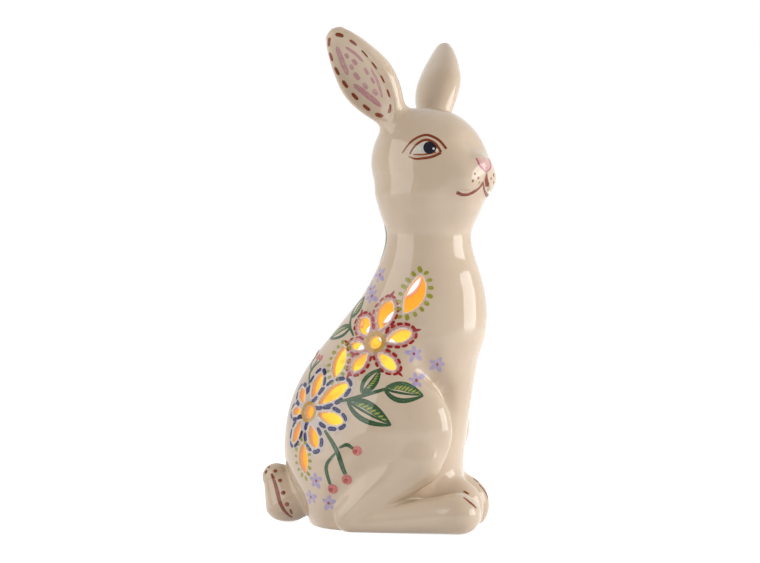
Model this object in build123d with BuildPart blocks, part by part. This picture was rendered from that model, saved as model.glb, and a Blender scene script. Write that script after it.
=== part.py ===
"""Hollow ceramic rabbit with pierced flanks, over a battery light unit that plugs into its base.

Millimetres, +Z up. The rabbit faces -Y and its head is turned to its right, towards -X. The origin is
on the standing plane, in the middle of the round opening in the base.
"""
import os
from math import cos, hypot, radians, sin

from build123d import *

os.makedirs("parts", exist_ok=True)

# Shared by all pieces
overrun = 4.0
seat_clearance = 0.3
fit_clearance = 0.2
running_clearance = 0.05

# Ceramic body: one slip-cast shell of even wall
ceramic_wall = 4.5
ceramic_floor = 4.5
torso_height = 225.0
torso_lean = 39.7
torso_depth = 112.0
torso_width = 104.0
# each row: height, forward lean, depth and width of one level ellipse
torso_shares = (
    (0.000, 0.000, 0.911, 0.885),
    (0.067, -0.025, 0.964, 0.962),
    (0.200, -0.050, 1.000, 1.000),
    (0.267, -0.050, 1.000, 0.981),
    (0.382, 0.038, 0.964, 0.913),
    (0.444, 0.176, 0.946, 0.865),
    (0.502, 0.378, 0.938, 0.817),
    (0.560, 0.605, 0.911, 0.760),
    (0.622, 0.793, 0.839, 0.712),
    (0.680, 0.919, 0.741, 0.654),
    (0.742, 0.982, 0.643, 0.596),
    (0.800, 1.000, 0.554, 0.548),
    (0.862, 1.000, 0.505, 0.519),
    (0.911, 1.000, 0.540, 0.570),
    (0.956, 1.000, 0.580, 0.615),
    (1.000, 1.000, 0.595, 0.632),
)

# Chest and forelegs: an upright column in front of the torso
chest_height = 148.0
chest_forward = 51.0
chest_depth = 42.0
chest_width = 54.0
chest_shares = (
    (0.00, 0.941, 0.714, 0.889),
    (0.31, 0.941, 0.738, 0.889),
    (0.58, 0.970, 0.929, 0.963),
    (0.76, 1.000, 1.000, 1.000),
    (0.90, 1.000, 0.905, 0.889),
    (1.00, 0.980, 0.690, 0.620),
)

# Haunch, shank, hind foot, front paw and tail: each an ellipsoid, given by its centre and half sizes
haunch_set_in = 17.0
haunch_forward = 24.0
haunch_height = 66.0
haunch_half_sizes = (20.0, 38.0, 38.0)
shank_set_in = 10.0
shank_forward = 12.0
shank_height = 32.5
shank_half_sizes = (11.5, 14.5, 37.0)
shank_tilt = 36.0
foot_set_in = 11.0
foot_forward = 35.5
foot_height = 11.0
foot_half_sizes = (16.0, 46.0, 16.5)
paw_side = 12.0
paw_forward = 55.0
paw_height = 12.0
paw_half_sizes = (13.0, 16.0, 17.0)
tail_stand_out = 2.5
tail_height = 19.0
tail_half_sizes = (14.9, 14.0, 20.5)
tail_tilt = -28.0

# Head: cranium, face, muzzle, jowls, chin and cheek pads, turned about the upright axis of the neck
head_turn = -28.0
head_rise = 18.0
cranium_half_sizes = (36.0, 38.5, 37.0)
face_forward = 15.0
face_drop = 4.0
face_half_sizes = (28.5, 30.0, 27.5)
muzzle_forward = 24.0
muzzle_drop = 8.0
muzzle_half_sizes = (22.0, 24.0, 20.0)
jowl_side = 14.0
jowl_forward = 3.0
jowl_drop = 18.0
jowl_half_sizes = (21.5, 27.0, 17.0)
chin_forward = 27.0
chin_drop = 26.0
chin_half_sizes = (13.0, 13.0, 9.0)
pad_side = 8.5
pad_forward = 33.5
pad_drop = 11.5
pad_half_sizes = (12.5, 13.0, 12.0)

# Ear: a solid leaf from the crown to its tip, scooped on its outer side
ear_root = (21.0, 7.0, 19.0)
ear_rise = (38.0, 29.0, 65.0)
ear_facing = (0.985, -0.17, 0.0)
ear_width = 38.6
ear_thickness = 27.0
ear_set_back = 2.0
# each row: place along the ear, width and thickness of one cross ellipse
ear_shares = (
    (0.00, 0.49, 0.70),
    (0.12, 0.62, 0.85),
    (0.30, 0.88, 1.00),
    (0.50, 1.00, 1.00),
    (0.70, 0.84, 0.81),
    (0.85, 0.54, 0.56),
    (0.95, 0.28, 0.33),
    (1.00, 0.13, 0.19),
)
scoop_place_share = 0.54
scoop_lift = 8.5
scoop_half_sizes = (14.0, 10.0, 27.0)

# Pierced openings: flowers and leaves through the wall of each flank
pierce_outside = 16.0
pierce_inside = 20.0
flower_eye_radius = 4.2
petal_root_radius = 1.0
petal_belly_share = 0.60
petal_tip_share = 0.26
# each petal: angle and distance of its root, angle and distance of its tip, width
upper_petals = (
    (78.0, 9.4, 76.0, 29.1, 11.0),
    (10.0, 8.2, 19.0, 23.9, 7.8),
    (-66.0, 8.4, -50.0, 21.9, 6.6),
    (-123.0, 9.2, -125.0, 23.4, 7.0),
    (-152.0, 8.8, -177.0, 17.3, 5.2),
    (142.0, 9.0, 125.0, 21.4, 8.4),
)
lower_petals = (
    (40.0, 9.4, 39.0, 32.5, 9.1),
    (-6.0, 8.2, -9.0, 26.6, 7.6),
    (-73.0, 9.6, -67.0, 24.5, 7.6),
    (-138.0, 9.6, -124.0, 24.5, 6.8),
    (180.0, 8.9, 179.0, 19.3, 5.6),
    (139.0, 9.4, 134.0, 21.6, 6.6),
    (87.0, 9.6, 84.0, 26.4, 8.2),
)
# each leaf: slope, length, how far its two sides bulge
leaf_cuts = (
    (68.0, 27.4, 4.4, 7.6),
    (90.0, 22.6, 4.1, 5.2),
    (94.0, 19.6, 4.6, 4.2),
)
# the two flowers, then the leaves, on each flank: height, degrees round the body, own turn in degrees
right_places_shares = (
    (0.549, 12.0, 0.0),
    (0.344, 36.5, 0.0),
    (0.689, 2.0, 0.0),
    (0.492, 31.0, 0.0),
    (0.207, 38.0, 0.0),
)
left_places_shares = (
    (0.584, 42.0, 20.0),
    (0.311, 14.0, -20.0),
    (0.729, 29.0, 0.0),
    (0.480, 72.0, 0.0),
    (0.196, 44.0, 0.0),
)

# Rebate round the opening in the base, which takes the light unit's flange
rebate_depth = 3.8

# Light housing: its tube stands round the battery bay
flange_thickness = 2.6
flange_width = 4.4
flange_clearance = 0.6
housing_clearance = 0.5
housing_wall = 1.8
bay_wall = 1.4
bay_corner_room = 0.7
boss_radius = 2.8
boss_room = 0.8
boss_turns = (60.0, 240.0)
post_radius = 1.8
post_height = 1.4
post_places_shares = ((0.60, -0.60), (-0.60, -0.60), (0.00, 0.72))

# AAA cells, side by side
cell_radius = 5.25
cell_body_length = 43.3
cell_nub_length = 1.2
cell_nub_radius = 1.9
cell_pitch = 11.2
cell_count = 3
cell_edge_radius = 0.6

# Strip contacts
contact_thickness = 0.4
contact_width = 8.0
contact_height = 9.0
tongue_width = 5.0
tongue_reach = 4.0
tongue_rise = 3.2
contact_gap = 0.3
tail_strip_width = 2.4
tail_strip_rise = 1.6

# Battery door and its hinge
door_thickness = 1.5
door_margin = 1.8
door_ledge_gap = 0.1
hinge_pin_radius = 0.5
hinge_pin_length = 1.2
finger_notch_radius = 5.0
finger_notch_depth = 1.6

# Gasket
gasket_height = 3.0
gasket_depth = 0.7
gasket_gap = 0.15

# Circuit board and what is on it
board_gap = 2.75
board_thickness = 1.6
led_radius = 2.5
led_height = 8.6
led_rim_radius = 2.9
led_rim_height = 1.0
led_circle = 6.0
led_count = 3
led_round_share = 0.96
chip_length = 5.0
chip_width = 4.0
chip_height = 1.6
chip_offset = 14.0
resistor_length = 3.2
resistor_width = 1.6
resistor_height = 0.6
resistor_circle = 12.0
resistor_turns = (-60.0, 0.0, 60.0)

# Top cover, its screws and the dome over the lamps
cover_thickness = 1.8
cover_headroom = 0.8
screw_head_radius = 2.4
screw_head_height = 1.6
screw_shank_radius = 1.0
screw_length = 9.0
dome_wall = 1.5
dome_radius = 13.5
dome_rim_width = 2.5
dome_rim_height = 1.2

# Slide switch
switch_side = 4.0
switch_room = 3.95
switch_length = 10.4
switch_width = 4.0
switch_height = 4.4
knob_length = 3.0
knob_width = 1.6
knob_travel = 2.5
knob_recess = 0.3
knob_root = 1.1
thumb_pocket_length = 12.0
thumb_pocket_width = 5.0
thumb_pocket_depth = 1.0

# Wires
wire_radius = 0.6
wire_lap = 7.0
wire_stand = 0.8
switch_wire_lap = 5.2
switch_wire_pitch = 4.0

# Heights and places that follow from the values above
flange_top = rebate_depth - seat_clearance
housing_base = flange_top - flange_thickness
floor_top = rebate_depth + ceramic_floor
door_top = housing_base + door_thickness
cell_height = door_top + 2 * fit_clearance + cell_radius
cell_length = cell_body_length + cell_nub_length
bay_half_length = (cell_length + tongue_reach) / 2 + contact_gap + contact_thickness
bay_half_width = (cell_count - 1) * cell_pitch / 2 + cell_radius + fit_clearance
bay_top = cell_height + cell_radius + 3 * fit_clearance
contact_middle = bay_half_length - contact_thickness / 2
housing_bore = hypot(bay_half_length, bay_half_width) + bay_corner_room
housing_radius = housing_bore + housing_wall
opening_radius = housing_radius + housing_clearance
flange_radius = housing_radius + flange_width
rebate_radius = flange_radius + flange_clearance
deck_top = bay_top + bay_wall
board_bottom = deck_top + post_height
board_top = board_bottom + board_thickness
board_radius = contact_middle - board_gap
housing_top = board_top + wire_stand + wire_lap / 2 + wire_radius + cover_headroom
cover_top = housing_top + cover_thickness
door_half_length = bay_half_length + door_margin - fit_clearance
door_half_width = bay_half_width + door_margin - fit_clearance
hinge_place = (-door_half_width + door_thickness / 2, housing_base + door_thickness / 2)
switch_place = (switch_side, -bay_half_width - bay_wall - switch_room - switch_width / 2)
boss_circle = housing_bore - boss_radius - boss_room
boss_places = [(boss_circle * cos(radians(turn)), boss_circle * sin(radians(turn))) for turn in boss_turns]
post_places = [(bay_half_length * x, bay_half_width * y) for x, y in post_places_shares]
cranium_height = torso_height + head_rise


def torso_level(share):
    """Height, forward lean, half depth and half width of the torso at a share of its height."""
    for low, high in zip(torso_shares, torso_shares[1:]):
        if share <= high[0]:
            break
    part_way = (share - low[0]) / (high[0] - low[0])
    _, lean, depth, width = (a + (b - a) * part_way for a, b in zip(low, high))
    return share * torso_height, lean * torso_lean, depth * torso_depth / 2, width * torso_width / 2


def torso_plane(share, around, own_turn):
    """Plane on the right flank, square to the wall: X forward along the body and Y up, less its own turn."""
    turn = radians(around)
    probe_share = 0.02
    height, lean, half_depth, half_width = torso_level(share)
    point = Vector(-half_width * cos(turn), half_depth * sin(turn) - lean, height)
    above_level = torso_level(share + probe_share)
    above = Vector(-above_level[3] * cos(turn), above_level[2] * sin(turn) - above_level[1], above_level[0])
    forward = Vector(-half_width * sin(turn), -half_depth * cos(turn), 0)
    level_plane = Plane(origin=point, x_dir=forward, z_dir=forward.cross(above - point))
    return Plane(point, on_plane(level_plane, own_turn), level_plane.z_dir)


def on_plane(plane, angle):
    """Direction in a plane, at an angle from its X axis."""
    return plane.x_dir * cos(radians(angle)) + plane.y_dir * sin(radians(angle))


def ellipse_stack(levels):
    """Loft through level ellipses, each a row of height, lean, half depth and half width."""
    with BuildPart() as stack:
        for height, lean, half_depth, half_width in levels:
            with BuildSketch(Plane.XY.offset(height)):
                with Locations((0, -lean)):
                    Ellipse(half_width, half_depth)
        loft()
    return stack.part


def ellipsoid(plane, half_sizes):
    """Ball of radius one, drawn out to three half sizes along the axes of a plane."""
    with BuildPart() as ball:
        Sphere(1)
        scale(by=half_sizes)
    return ball.part.moved(plane.location)


def inset(half_sizes):
    """Half sizes of the hollow inside an ellipsoid."""
    return tuple(size - ceramic_wall for size in half_sizes)


def chest_levels(bottom, wall):
    """Levels of the chest column from a lowest height up, drawn in by a wall."""
    rows = [row for row in chest_shares if row[0] * chest_height >= bottom]
    return [
        (
            high * chest_height - (wall if high == 1 else 0),
            lean * chest_forward,
            depth * chest_depth / 2 - wall,
            width * chest_width / 2 - wall,
        )
        for high, lean, depth, width in rows
    ]


# Masses of the outside of the body, below the head
haunch_side = torso_width / 2 - haunch_set_in
haunch_planes = [Plane((side * haunch_side, -haunch_forward, haunch_height)) for side in (-1, 1)]
body_masses = [
    ellipse_stack([torso_level(row[0]) for row in torso_shares]),
    ellipse_stack(chest_levels(0, 0)),
]
tail_plane = Plane((0, torso_depth / 2 + tail_stand_out, tail_height)).rotated((tail_tilt, 0, 0))
body_masses.append(ellipsoid(tail_plane, tail_half_sizes))
for side, haunch_plane in zip((-1, 1), haunch_planes):
    body_masses.append(ellipsoid(haunch_plane, haunch_half_sizes))
    shank_centre = (side * (torso_width / 2 - shank_set_in), -shank_forward, shank_height)
    body_masses.append(ellipsoid(Plane(shank_centre).rotated((shank_tilt, 0, 0)), shank_half_sizes))
    foot_centre = (side * (torso_width / 2 - foot_set_in), -foot_forward, foot_height)
    body_masses.append(ellipsoid(Plane(foot_centre), foot_half_sizes))
    body_masses.append(ellipsoid(Plane((side * paw_side, -paw_forward, paw_height)), paw_half_sizes))

# Masses of the head, about the upright axis of the neck, before it turns
head_masses = [
    ellipsoid(Plane((0, 0, cranium_height)), cranium_half_sizes),
    ellipsoid(Plane((0, -face_forward, cranium_height - face_drop)), face_half_sizes),
    ellipsoid(Plane((0, -muzzle_forward, cranium_height - muzzle_drop)), muzzle_half_sizes),
    ellipsoid(Plane((0, -chin_forward, cranium_height - chin_drop)), chin_half_sizes),
]
for side in (-1, 1):
    jowl_centre = (side * jowl_side, -jowl_forward, cranium_height - jowl_drop)
    head_masses.append(ellipsoid(Plane(jowl_centre), jowl_half_sizes))
    pad_centre = (side * pad_side, -pad_forward, cranium_height - pad_drop)
    head_masses.append(ellipsoid(Plane(pad_centre), pad_half_sizes))


def ear(side):
    """One ear: a leaf lofted along its axis, with its outer side scooped out."""
    root = Vector(side * ear_root[0], ear_root[1], cranium_height + ear_root[2])
    rise = Vector(side * ear_rise[0], ear_rise[1], ear_rise[2])
    along = rise.normalized()
    facing = Vector(side * ear_facing[0], ear_facing[1], ear_facing[2])
    outward = (facing - along * facing.dot(along)).normalized()
    across = outward.cross(along)
    scoop_centre = root + rise * scoop_place_share + outward * scoop_lift
    scoop = ellipsoid(Plane(origin=scoop_centre, x_dir=across, z_dir=along), scoop_half_sizes)
    with BuildPart() as leaf:
        for place, width, thickness in ear_shares:
            centre = root + rise * place - outward * ear_set_back
            with BuildSketch(Plane(origin=centre, x_dir=across, z_dir=along)):
                Ellipse(width * ear_width / 2, thickness * ear_thickness / 2)
        loft()
        add(scoop, mode=Mode.SUBTRACT)
    return leaf.part


head_masses += [ear(side) for side in (-1, 1)]
head_place = Location((0, -torso_lean, 0), (0, 0, head_turn))

# Masses of the hollow
hollow_shares = [row[0] for row in torso_shares if row[0] * torso_height > floor_top + overrun]
hollow_levels = [
    (height, lean, half_depth - ceramic_wall, half_width - ceramic_wall)
    for height, lean, half_depth, half_width in map(torso_level, [floor_top / torso_height, *hollow_shares])
]
face_plane = Plane((0, -face_forward, cranium_height - face_drop))
hollow_masses = [
    ellipse_stack(hollow_levels),
    ellipse_stack(chest_levels(floor_top + overrun, ceramic_wall)),
    ellipsoid(Plane((0, 0, cranium_height)), inset(cranium_half_sizes)).moved(head_place),
    ellipsoid(face_plane, inset(face_half_sizes)).moved(head_place),
]
hollow_masses += [ellipsoid(plane, inset(haunch_half_sizes)) for plane in haunch_planes]


def petal_cutter(plane, petal):
    """Prism of a petal: a fine root towards the flower's eye, a round belly and a blunt tip."""
    root_angle, root_distance, tip_angle, tip_distance, width = petal
    root = on_plane(plane, root_angle) * root_distance
    tip = on_plane(plane, tip_angle) * tip_distance
    length = (tip - root).length
    tip_radius = petal_tip_share * width
    circles = (
        (petal_root_radius, petal_root_radius),
        (petal_belly_share * length, width / 2),
        (length - tip_radius, tip_radius),
    )
    with BuildPart() as prism:
        with BuildSketch(Plane(plane.origin + root, tip - root, plane.z_dir).offset(-pierce_inside)):
            for along, radius in circles:
                with Locations((along, 0)):
                    Circle(radius)
            make_hull()
        extrude(amount=pierce_inside + pierce_outside)
    return prism.part


def leaf_cutter(plane, leaf):
    """Prism of a leaf: two arcs that meet at both tips."""
    slope, length, left_bulge, right_bulge = leaf
    with BuildPart() as prism:
        with BuildSketch(Plane(plane.origin, on_plane(plane, slope), plane.z_dir).offset(-pierce_inside)):
            with BuildLine():
                ThreePointArc((-length / 2, 0), (0, left_bulge), (length / 2, 0))
                ThreePointArc((length / 2, 0), (0, -right_bulge), (-length / 2, 0))
            make_face()
        extrude(amount=pierce_inside + pierce_outside)
    return prism.part


def eye_cutter(plane):
    """Round prism at the middle of a flower."""
    with BuildPart() as prism:
        with BuildSketch(plane.offset(-pierce_inside)):
            Circle(flower_eye_radius)
        extrude(amount=pierce_inside + pierce_outside)
    return prism.part


def flank_cutters(places):
    """Cutters of one flank, drawn on planes of the right side and carried through its wall."""
    planes = [torso_plane(*place) for place in places]
    cutters = []
    for plane, petals in zip(planes, (upper_petals, lower_petals)):
        cutters.append(eye_cutter(plane))
        cutters += [petal_cutter(plane, petal) for petal in petals]
    cutters += [leaf_cutter(plane, leaf) for plane, leaf in zip(planes[2:], leaf_cuts)]
    return cutters


with BuildPart() as ceramic_rabbit:
    add(body_masses)
    add([mass.moved(head_place) for mass in head_masses])
    split(bisect_by=Plane.XY, keep=Keep.TOP)
    add(hollow_masses, mode=Mode.SUBTRACT)
    with BuildSketch():
        Circle(opening_radius)
    extrude(amount=floor_top + overrun, mode=Mode.SUBTRACT)
    with BuildSketch():
        Circle(rebate_radius)
    extrude(amount=rebate_depth, mode=Mode.SUBTRACT)
    add(flank_cutters(right_places_shares), mode=Mode.SUBTRACT)
    add([cutter.mirror(Plane.YZ) for cutter in flank_cutters(left_places_shares)], mode=Mode.SUBTRACT)
ceramic_rabbit.part.label = "ceramic_rabbit"
export_step(ceramic_rabbit.part, "parts/ceramic_rabbit.step")

# Light housing: round plug with a flange, a battery bay, screw bosses and posts for the board
bay_size = (2 * bay_half_length, 2 * bay_half_width)
hatch_size = (2 * (bay_half_length + door_margin), 2 * (bay_half_width + door_margin))
slot_size = (knob_length + 2 * (knob_travel + seat_clearance), knob_width + 2 * seat_clearance)
gasket_bottom = (rebate_depth + floor_top - gasket_height) / 2
with BuildPart() as light_housing:
    with BuildSketch(Plane.XY.offset(housing_base)):
        Circle(flange_radius)
    extrude(amount=flange_thickness)
    with BuildSketch(Plane.XY.offset(flange_top)):
        Circle(housing_radius)
        Circle(housing_bore, mode=Mode.SUBTRACT)
    extrude(amount=housing_top - flange_top)
    with BuildSketch(Plane.XY.offset(flange_top)):
        Rectangle(bay_size[0] + 2 * bay_wall, bay_size[1] + 2 * bay_wall)
    extrude(amount=deck_top - flange_top)
    with BuildSketch(Plane.XY.offset(flange_top)):
        with Locations(*boss_places):
            Circle(boss_radius)
    extrude(amount=housing_top - flange_top)
    with BuildSketch(Plane.XY.offset(deck_top)):
        with Locations(*post_places):
            Circle(post_radius)
    extrude(amount=post_height)
    with BuildSketch(Plane.XY.offset(housing_base)):
        Rectangle(*bay_size)
    extrude(amount=bay_top - housing_base, mode=Mode.SUBTRACT)
    with BuildSketch(Plane.XY.offset(housing_base)):
        Rectangle(*hatch_size)
    extrude(amount=door_thickness + door_ledge_gap, mode=Mode.SUBTRACT)
    with BuildSketch(Plane.XY.offset(housing_base)):
        with Locations((0, hatch_size[1] / 2)):
            Circle(finger_notch_radius)
    extrude(amount=finger_notch_depth, mode=Mode.SUBTRACT)
    with BuildSketch(Plane.XY.offset(housing_base)):
        with Locations(switch_place):
            Rectangle(thumb_pocket_length, thumb_pocket_width)
    extrude(amount=thumb_pocket_depth, mode=Mode.SUBTRACT)
    with BuildSketch(Plane.XY.offset(housing_base)):
        with Locations(switch_place):
            Rectangle(*slot_size)
    extrude(amount=flange_thickness, mode=Mode.SUBTRACT)
    with BuildSketch(Plane.XY.offset(housing_top)):
        with Locations(*boss_places):
            Circle(screw_shank_radius + running_clearance)
    extrude(amount=-screw_length, mode=Mode.SUBTRACT)
    with BuildSketch(Plane.XY.offset(bay_top)):
        with Locations((contact_middle, -cell_pitch), (-contact_middle, cell_pitch)):
            Rectangle(contact_thickness + 2 * fit_clearance, tail_strip_width + 2 * fit_clearance)
    extrude(amount=bay_wall, mode=Mode.SUBTRACT)
    with BuildSketch(Plane.XY.offset(gasket_bottom)):
        Circle(housing_radius + overrun)
        Circle(housing_radius - gasket_depth, mode=Mode.SUBTRACT)
    extrude(amount=gasket_height, mode=Mode.SUBTRACT)
    with BuildSketch(Plane.YZ):
        with Locations(hinge_place):
            Circle(hinge_pin_radius + running_clearance)
    extrude(amount=door_half_length + hinge_pin_length + fit_clearance, both=True, mode=Mode.SUBTRACT)
light_housing.part.label = "light_housing"
export_step(light_housing.part, "parts/light_housing.step")

# Gasket: silicone ring in the housing's groove
with BuildPart() as gasket_ring:
    with BuildSketch(Plane.XY.offset(gasket_bottom)):
        Circle(opening_radius - gasket_gap)
        Circle(housing_radius - gasket_depth, mode=Mode.SUBTRACT)
    extrude(amount=gasket_height)
gasket_ring.part.label = "gasket_ring"
export_step(gasket_ring.part, "parts/gasket_ring.step")

# Battery door: flat plate with a rounded edge that turns on two stub pins
with BuildPart() as battery_door:
    with BuildSketch(Plane.YZ):
        with Locations(hinge_place):
            Circle(door_thickness / 2)
            Rectangle(door_half_width - hinge_place[0], door_thickness, align=(Align.MIN, Align.CENTER))
    extrude(amount=door_half_length, both=True)
    with BuildSketch(Plane.YZ):
        with Locations(hinge_place):
            Circle(hinge_pin_radius)
    extrude(amount=door_half_length + hinge_pin_length, both=True)
battery_door.part.label = "battery_door"
export_step(battery_door.part, "parts/battery_door.step")

# Cells: the outer two point one way and the middle one the other way
cell_reach = bay_half_length - contact_thickness - contact_gap / 2
for index in range(cell_count):
    row = (index - (cell_count - 1) / 2) * cell_pitch
    end = 1 if index % 2 == 0 else -1
    with BuildPart() as cell:
        with BuildSketch(Plane.YZ.offset(end * (cell_reach - cell_nub_length))):
            with Locations((row, cell_height)):
                Circle(cell_radius)
        extrude(amount=-end * cell_body_length)
        fillet(cell.edges().filter_by(GeomType.CIRCLE), cell_edge_radius)
        with BuildSketch(Plane.YZ.offset(end * cell_reach)):
            with Locations((row, cell_height)):
                Circle(cell_nub_radius)
        extrude(amount=-end * (cell_nub_length + cell_edge_radius))
    cell.part.label = f"battery_{index + 1}"
    export_step(cell.part, f"parts/battery_{index + 1}.step")


def strip_contact(end, rows, tongue_row, has_tail):
    """Plate on one end wall of the bay over some cells, with a sprung tongue and a solder tail if asked."""
    middle = sum(rows) / len(rows) * cell_pitch
    width = contact_width + (max(rows) - min(rows)) * cell_pitch
    plate_plane = Plane.YZ.offset(end * contact_middle)
    with BuildPart() as strip:
        with BuildSketch(plate_plane):
            with Locations((middle, cell_height)):
                Rectangle(width, contact_height)
        extrude(amount=contact_thickness / 2, both=True)
        if has_tail:
            with BuildSketch(plate_plane):
                with Locations((middle, cell_height)):
                    tail_length = deck_top + tail_strip_rise - cell_height
                    Rectangle(tail_strip_width, tail_length, align=(Align.CENTER, Align.MIN))
            extrude(amount=contact_thickness / 2, both=True)
        if tongue_row is not None:
            foot = (end * contact_middle, cell_height - tongue_rise)
            tip = (end * (contact_middle - contact_thickness / 2 - tongue_reach), cell_height)
            free_end = (end * (contact_middle - 2 * contact_thickness), cell_height + tongue_rise)
            with BuildSketch(Plane.XZ.offset(-tongue_row * cell_pitch)):
                with BuildLine():
                    Polyline(foot, tip, free_end)
                trace(line_width=contact_thickness)
            extrude(amount=tongue_width / 2, both=True)
    return strip.part


# Strip contacts: the two ends of the battery and the two bridges between cells
contacts = {
    "contact_positive": strip_contact(1, (-1,), None, True),
    "contact_negative": strip_contact(-1, (1,), 1, True),
    "contact_bridge_left": strip_contact(-1, (-1, 0), -1, False),
    "contact_bridge_right": strip_contact(1, (0, 1), 0, False),
}
for name, contact in contacts.items():
    contact.label = name
    export_step(contact, f"parts/{name}.step")

# Circuit board on the posts
with BuildPart() as led_board:
    with BuildSketch(Plane.XY.offset(board_bottom)):
        Circle(board_radius)
    extrude(amount=board_thickness)
led_board.part.label = "led_board"
export_step(led_board.part, "parts/led_board.step")

# Lamps: round lenses on their rims
for index in range(led_count):
    turn = radians(90 + index * 360 / led_count)
    lamp_plane = Plane((led_circle * cos(turn), led_circle * sin(turn), board_top))
    with BuildPart() as led:
        with BuildSketch(lamp_plane):
            Circle(led_rim_radius)
        extrude(amount=led_rim_height)
        with BuildSketch(lamp_plane):
            Circle(led_radius)
        extrude(amount=led_height)
        fillet(led.edges().sort_by(Axis.Z)[-1], led_radius * led_round_share)
    led.part.label = f"led_{index + 1}"
    export_step(led.part, f"parts/led_{index + 1}.step")

# Timer chip and resistors on the board
with BuildPart() as timer_chip:
    with BuildSketch(Plane.XY.offset(board_top)):
        with Locations((-chip_offset, 0)):
            Rectangle(chip_width, chip_length)
    extrude(amount=chip_height)
timer_chip.part.label = "timer_chip"
export_step(timer_chip.part, "parts/timer_chip.step")

with BuildPart() as resistors:
    with BuildSketch(Plane.XY.offset(board_top)):
        for turn in resistor_turns:
            with Locations(Location((0, 0, 0), (0, 0, turn))):
                with Locations((resistor_circle, 0)):
                    Rectangle(resistor_width, resistor_length)
    extrude(amount=resistor_height)
resistors.part.label = "resistors"
export_step(resistors.part, "parts/resistors.step")

# Top cover: a disc on the housing, with a round hole over the lamps
with BuildPart() as top_cover:
    with BuildSketch(Plane.XY.offset(housing_top)):
        Circle(housing_radius)
        Circle(dome_radius - dome_wall, mode=Mode.SUBTRACT)
        with Locations(*boss_places):
            Circle(screw_shank_radius + fit_clearance, mode=Mode.SUBTRACT)
    extrude(amount=cover_thickness)
top_cover.part.label = "top_cover"
export_step(top_cover.part, "parts/top_cover.step")

# Two screws that hold the cover to the housing's bosses
with BuildPart() as cover_screws:
    with BuildSketch(Plane.XY.offset(cover_top)):
        with Locations(*boss_places):
            Circle(screw_head_radius)
    extrude(amount=screw_head_height)
    with BuildSketch(Plane.XY.offset(cover_top)):
        with Locations(*boss_places):
            Circle(screw_shank_radius)
    extrude(amount=-screw_length)
cover_screws.part.label = "cover_screws"
export_step(cover_screws.part, "parts/cover_screws.step")

# Diffuser dome on the cover, over the lamps
dome_spring = cover_top + dome_rim_height
dome_align = (Align.CENTER, Align.CENTER, Align.MIN)
with BuildPart() as diffuser_dome:
    with BuildSketch(Plane.XY.offset(cover_top)):
        Circle(dome_radius + dome_rim_width)
    extrude(amount=dome_rim_height)
    with Locations((0, 0, dome_spring)):
        Sphere(dome_radius, arc_size1=0, align=dome_align)
        Sphere(dome_radius - dome_wall, arc_size1=0, align=dome_align, mode=Mode.SUBTRACT)
    with BuildSketch(Plane.XY.offset(cover_top)):
        Circle(dome_radius - dome_wall)
    extrude(amount=dome_rim_height, mode=Mode.SUBTRACT)
diffuser_dome.part.label = "diffuser_dome"
export_step(diffuser_dome.part, "parts/diffuser_dome.step")

# Slide switch: its body stands on the base plate, its knob reaches through the slot
with BuildPart() as switch_body:
    with BuildSketch(Plane.XY.offset(flange_top)):
        with Locations(switch_place):
            Rectangle(switch_length, switch_width)
    extrude(amount=switch_height)
    with BuildSketch(Plane.XY.offset(flange_top)):
        with Locations(switch_place):
            Rectangle(*slot_size)
    extrude(amount=knob_root + seat_clearance, mode=Mode.SUBTRACT)
switch_body.part.label = "switch_body"
export_step(switch_body.part, "parts/switch_body.step")

with BuildPart() as switch_knob:
    with BuildSketch(Plane.XY.offset(housing_base + knob_recess)):
        with Locations(switch_place):
            Rectangle(knob_length, knob_width)
    extrude(amount=flange_thickness - knob_recess + knob_root)
switch_knob.part.label = "switch_knob"
export_step(switch_knob.part, "parts/switch_knob.step")


def arched_wire(plane, start, lap, rise):
    """Wire drawn in an upright plane: up from a start point, over in a half turn and down on the board."""
    arch_height = board_top + wire_stand
    over = start + lap
    with BuildPart() as wire:
        with BuildLine(plane) as route:
            up = Line((start, rise), (start, arch_height))
            crown = ((start + over) / 2, arch_height + abs(lap) / 2)
            arch = ThreePointArc(up @ 1, crown, (over, arch_height))
            Line(arch @ 1, (over, board_top))
        with BuildSketch(Plane(up @ 0, z_dir=up % 0)):
            Circle(wire_radius)
        sweep(path=route.wire())
    return wire.part


# Wires from the two ends of the battery, and from the switch, up to the board
tail_top = deck_top + tail_strip_rise
wire_red = arched_wire(Plane.XZ.offset(cell_pitch), contact_middle, -wire_lap, tail_top)
wire_red.label = "wire_red"
export_step(wire_red, "parts/wire_red.step")
wire_black = arched_wire(Plane.XZ.offset(-cell_pitch), -contact_middle, wire_lap, tail_top)
wire_black.label = "wire_black"
export_step(wire_black, "parts/wire_black.step")
switch_top = flange_top + switch_height
switch_wires = Compound(
    [
        arched_wire(Plane.YZ.offset(switch_place[0] + side * switch_wire_pitch / 2), switch_place[1],
                    switch_wire_lap, switch_top)
        for side in (-1, 1)
    ]
)
switch_wires.label = "switch_wires"
export_step(switch_wires, "parts/switch_wires.step")
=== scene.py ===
import math

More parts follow.
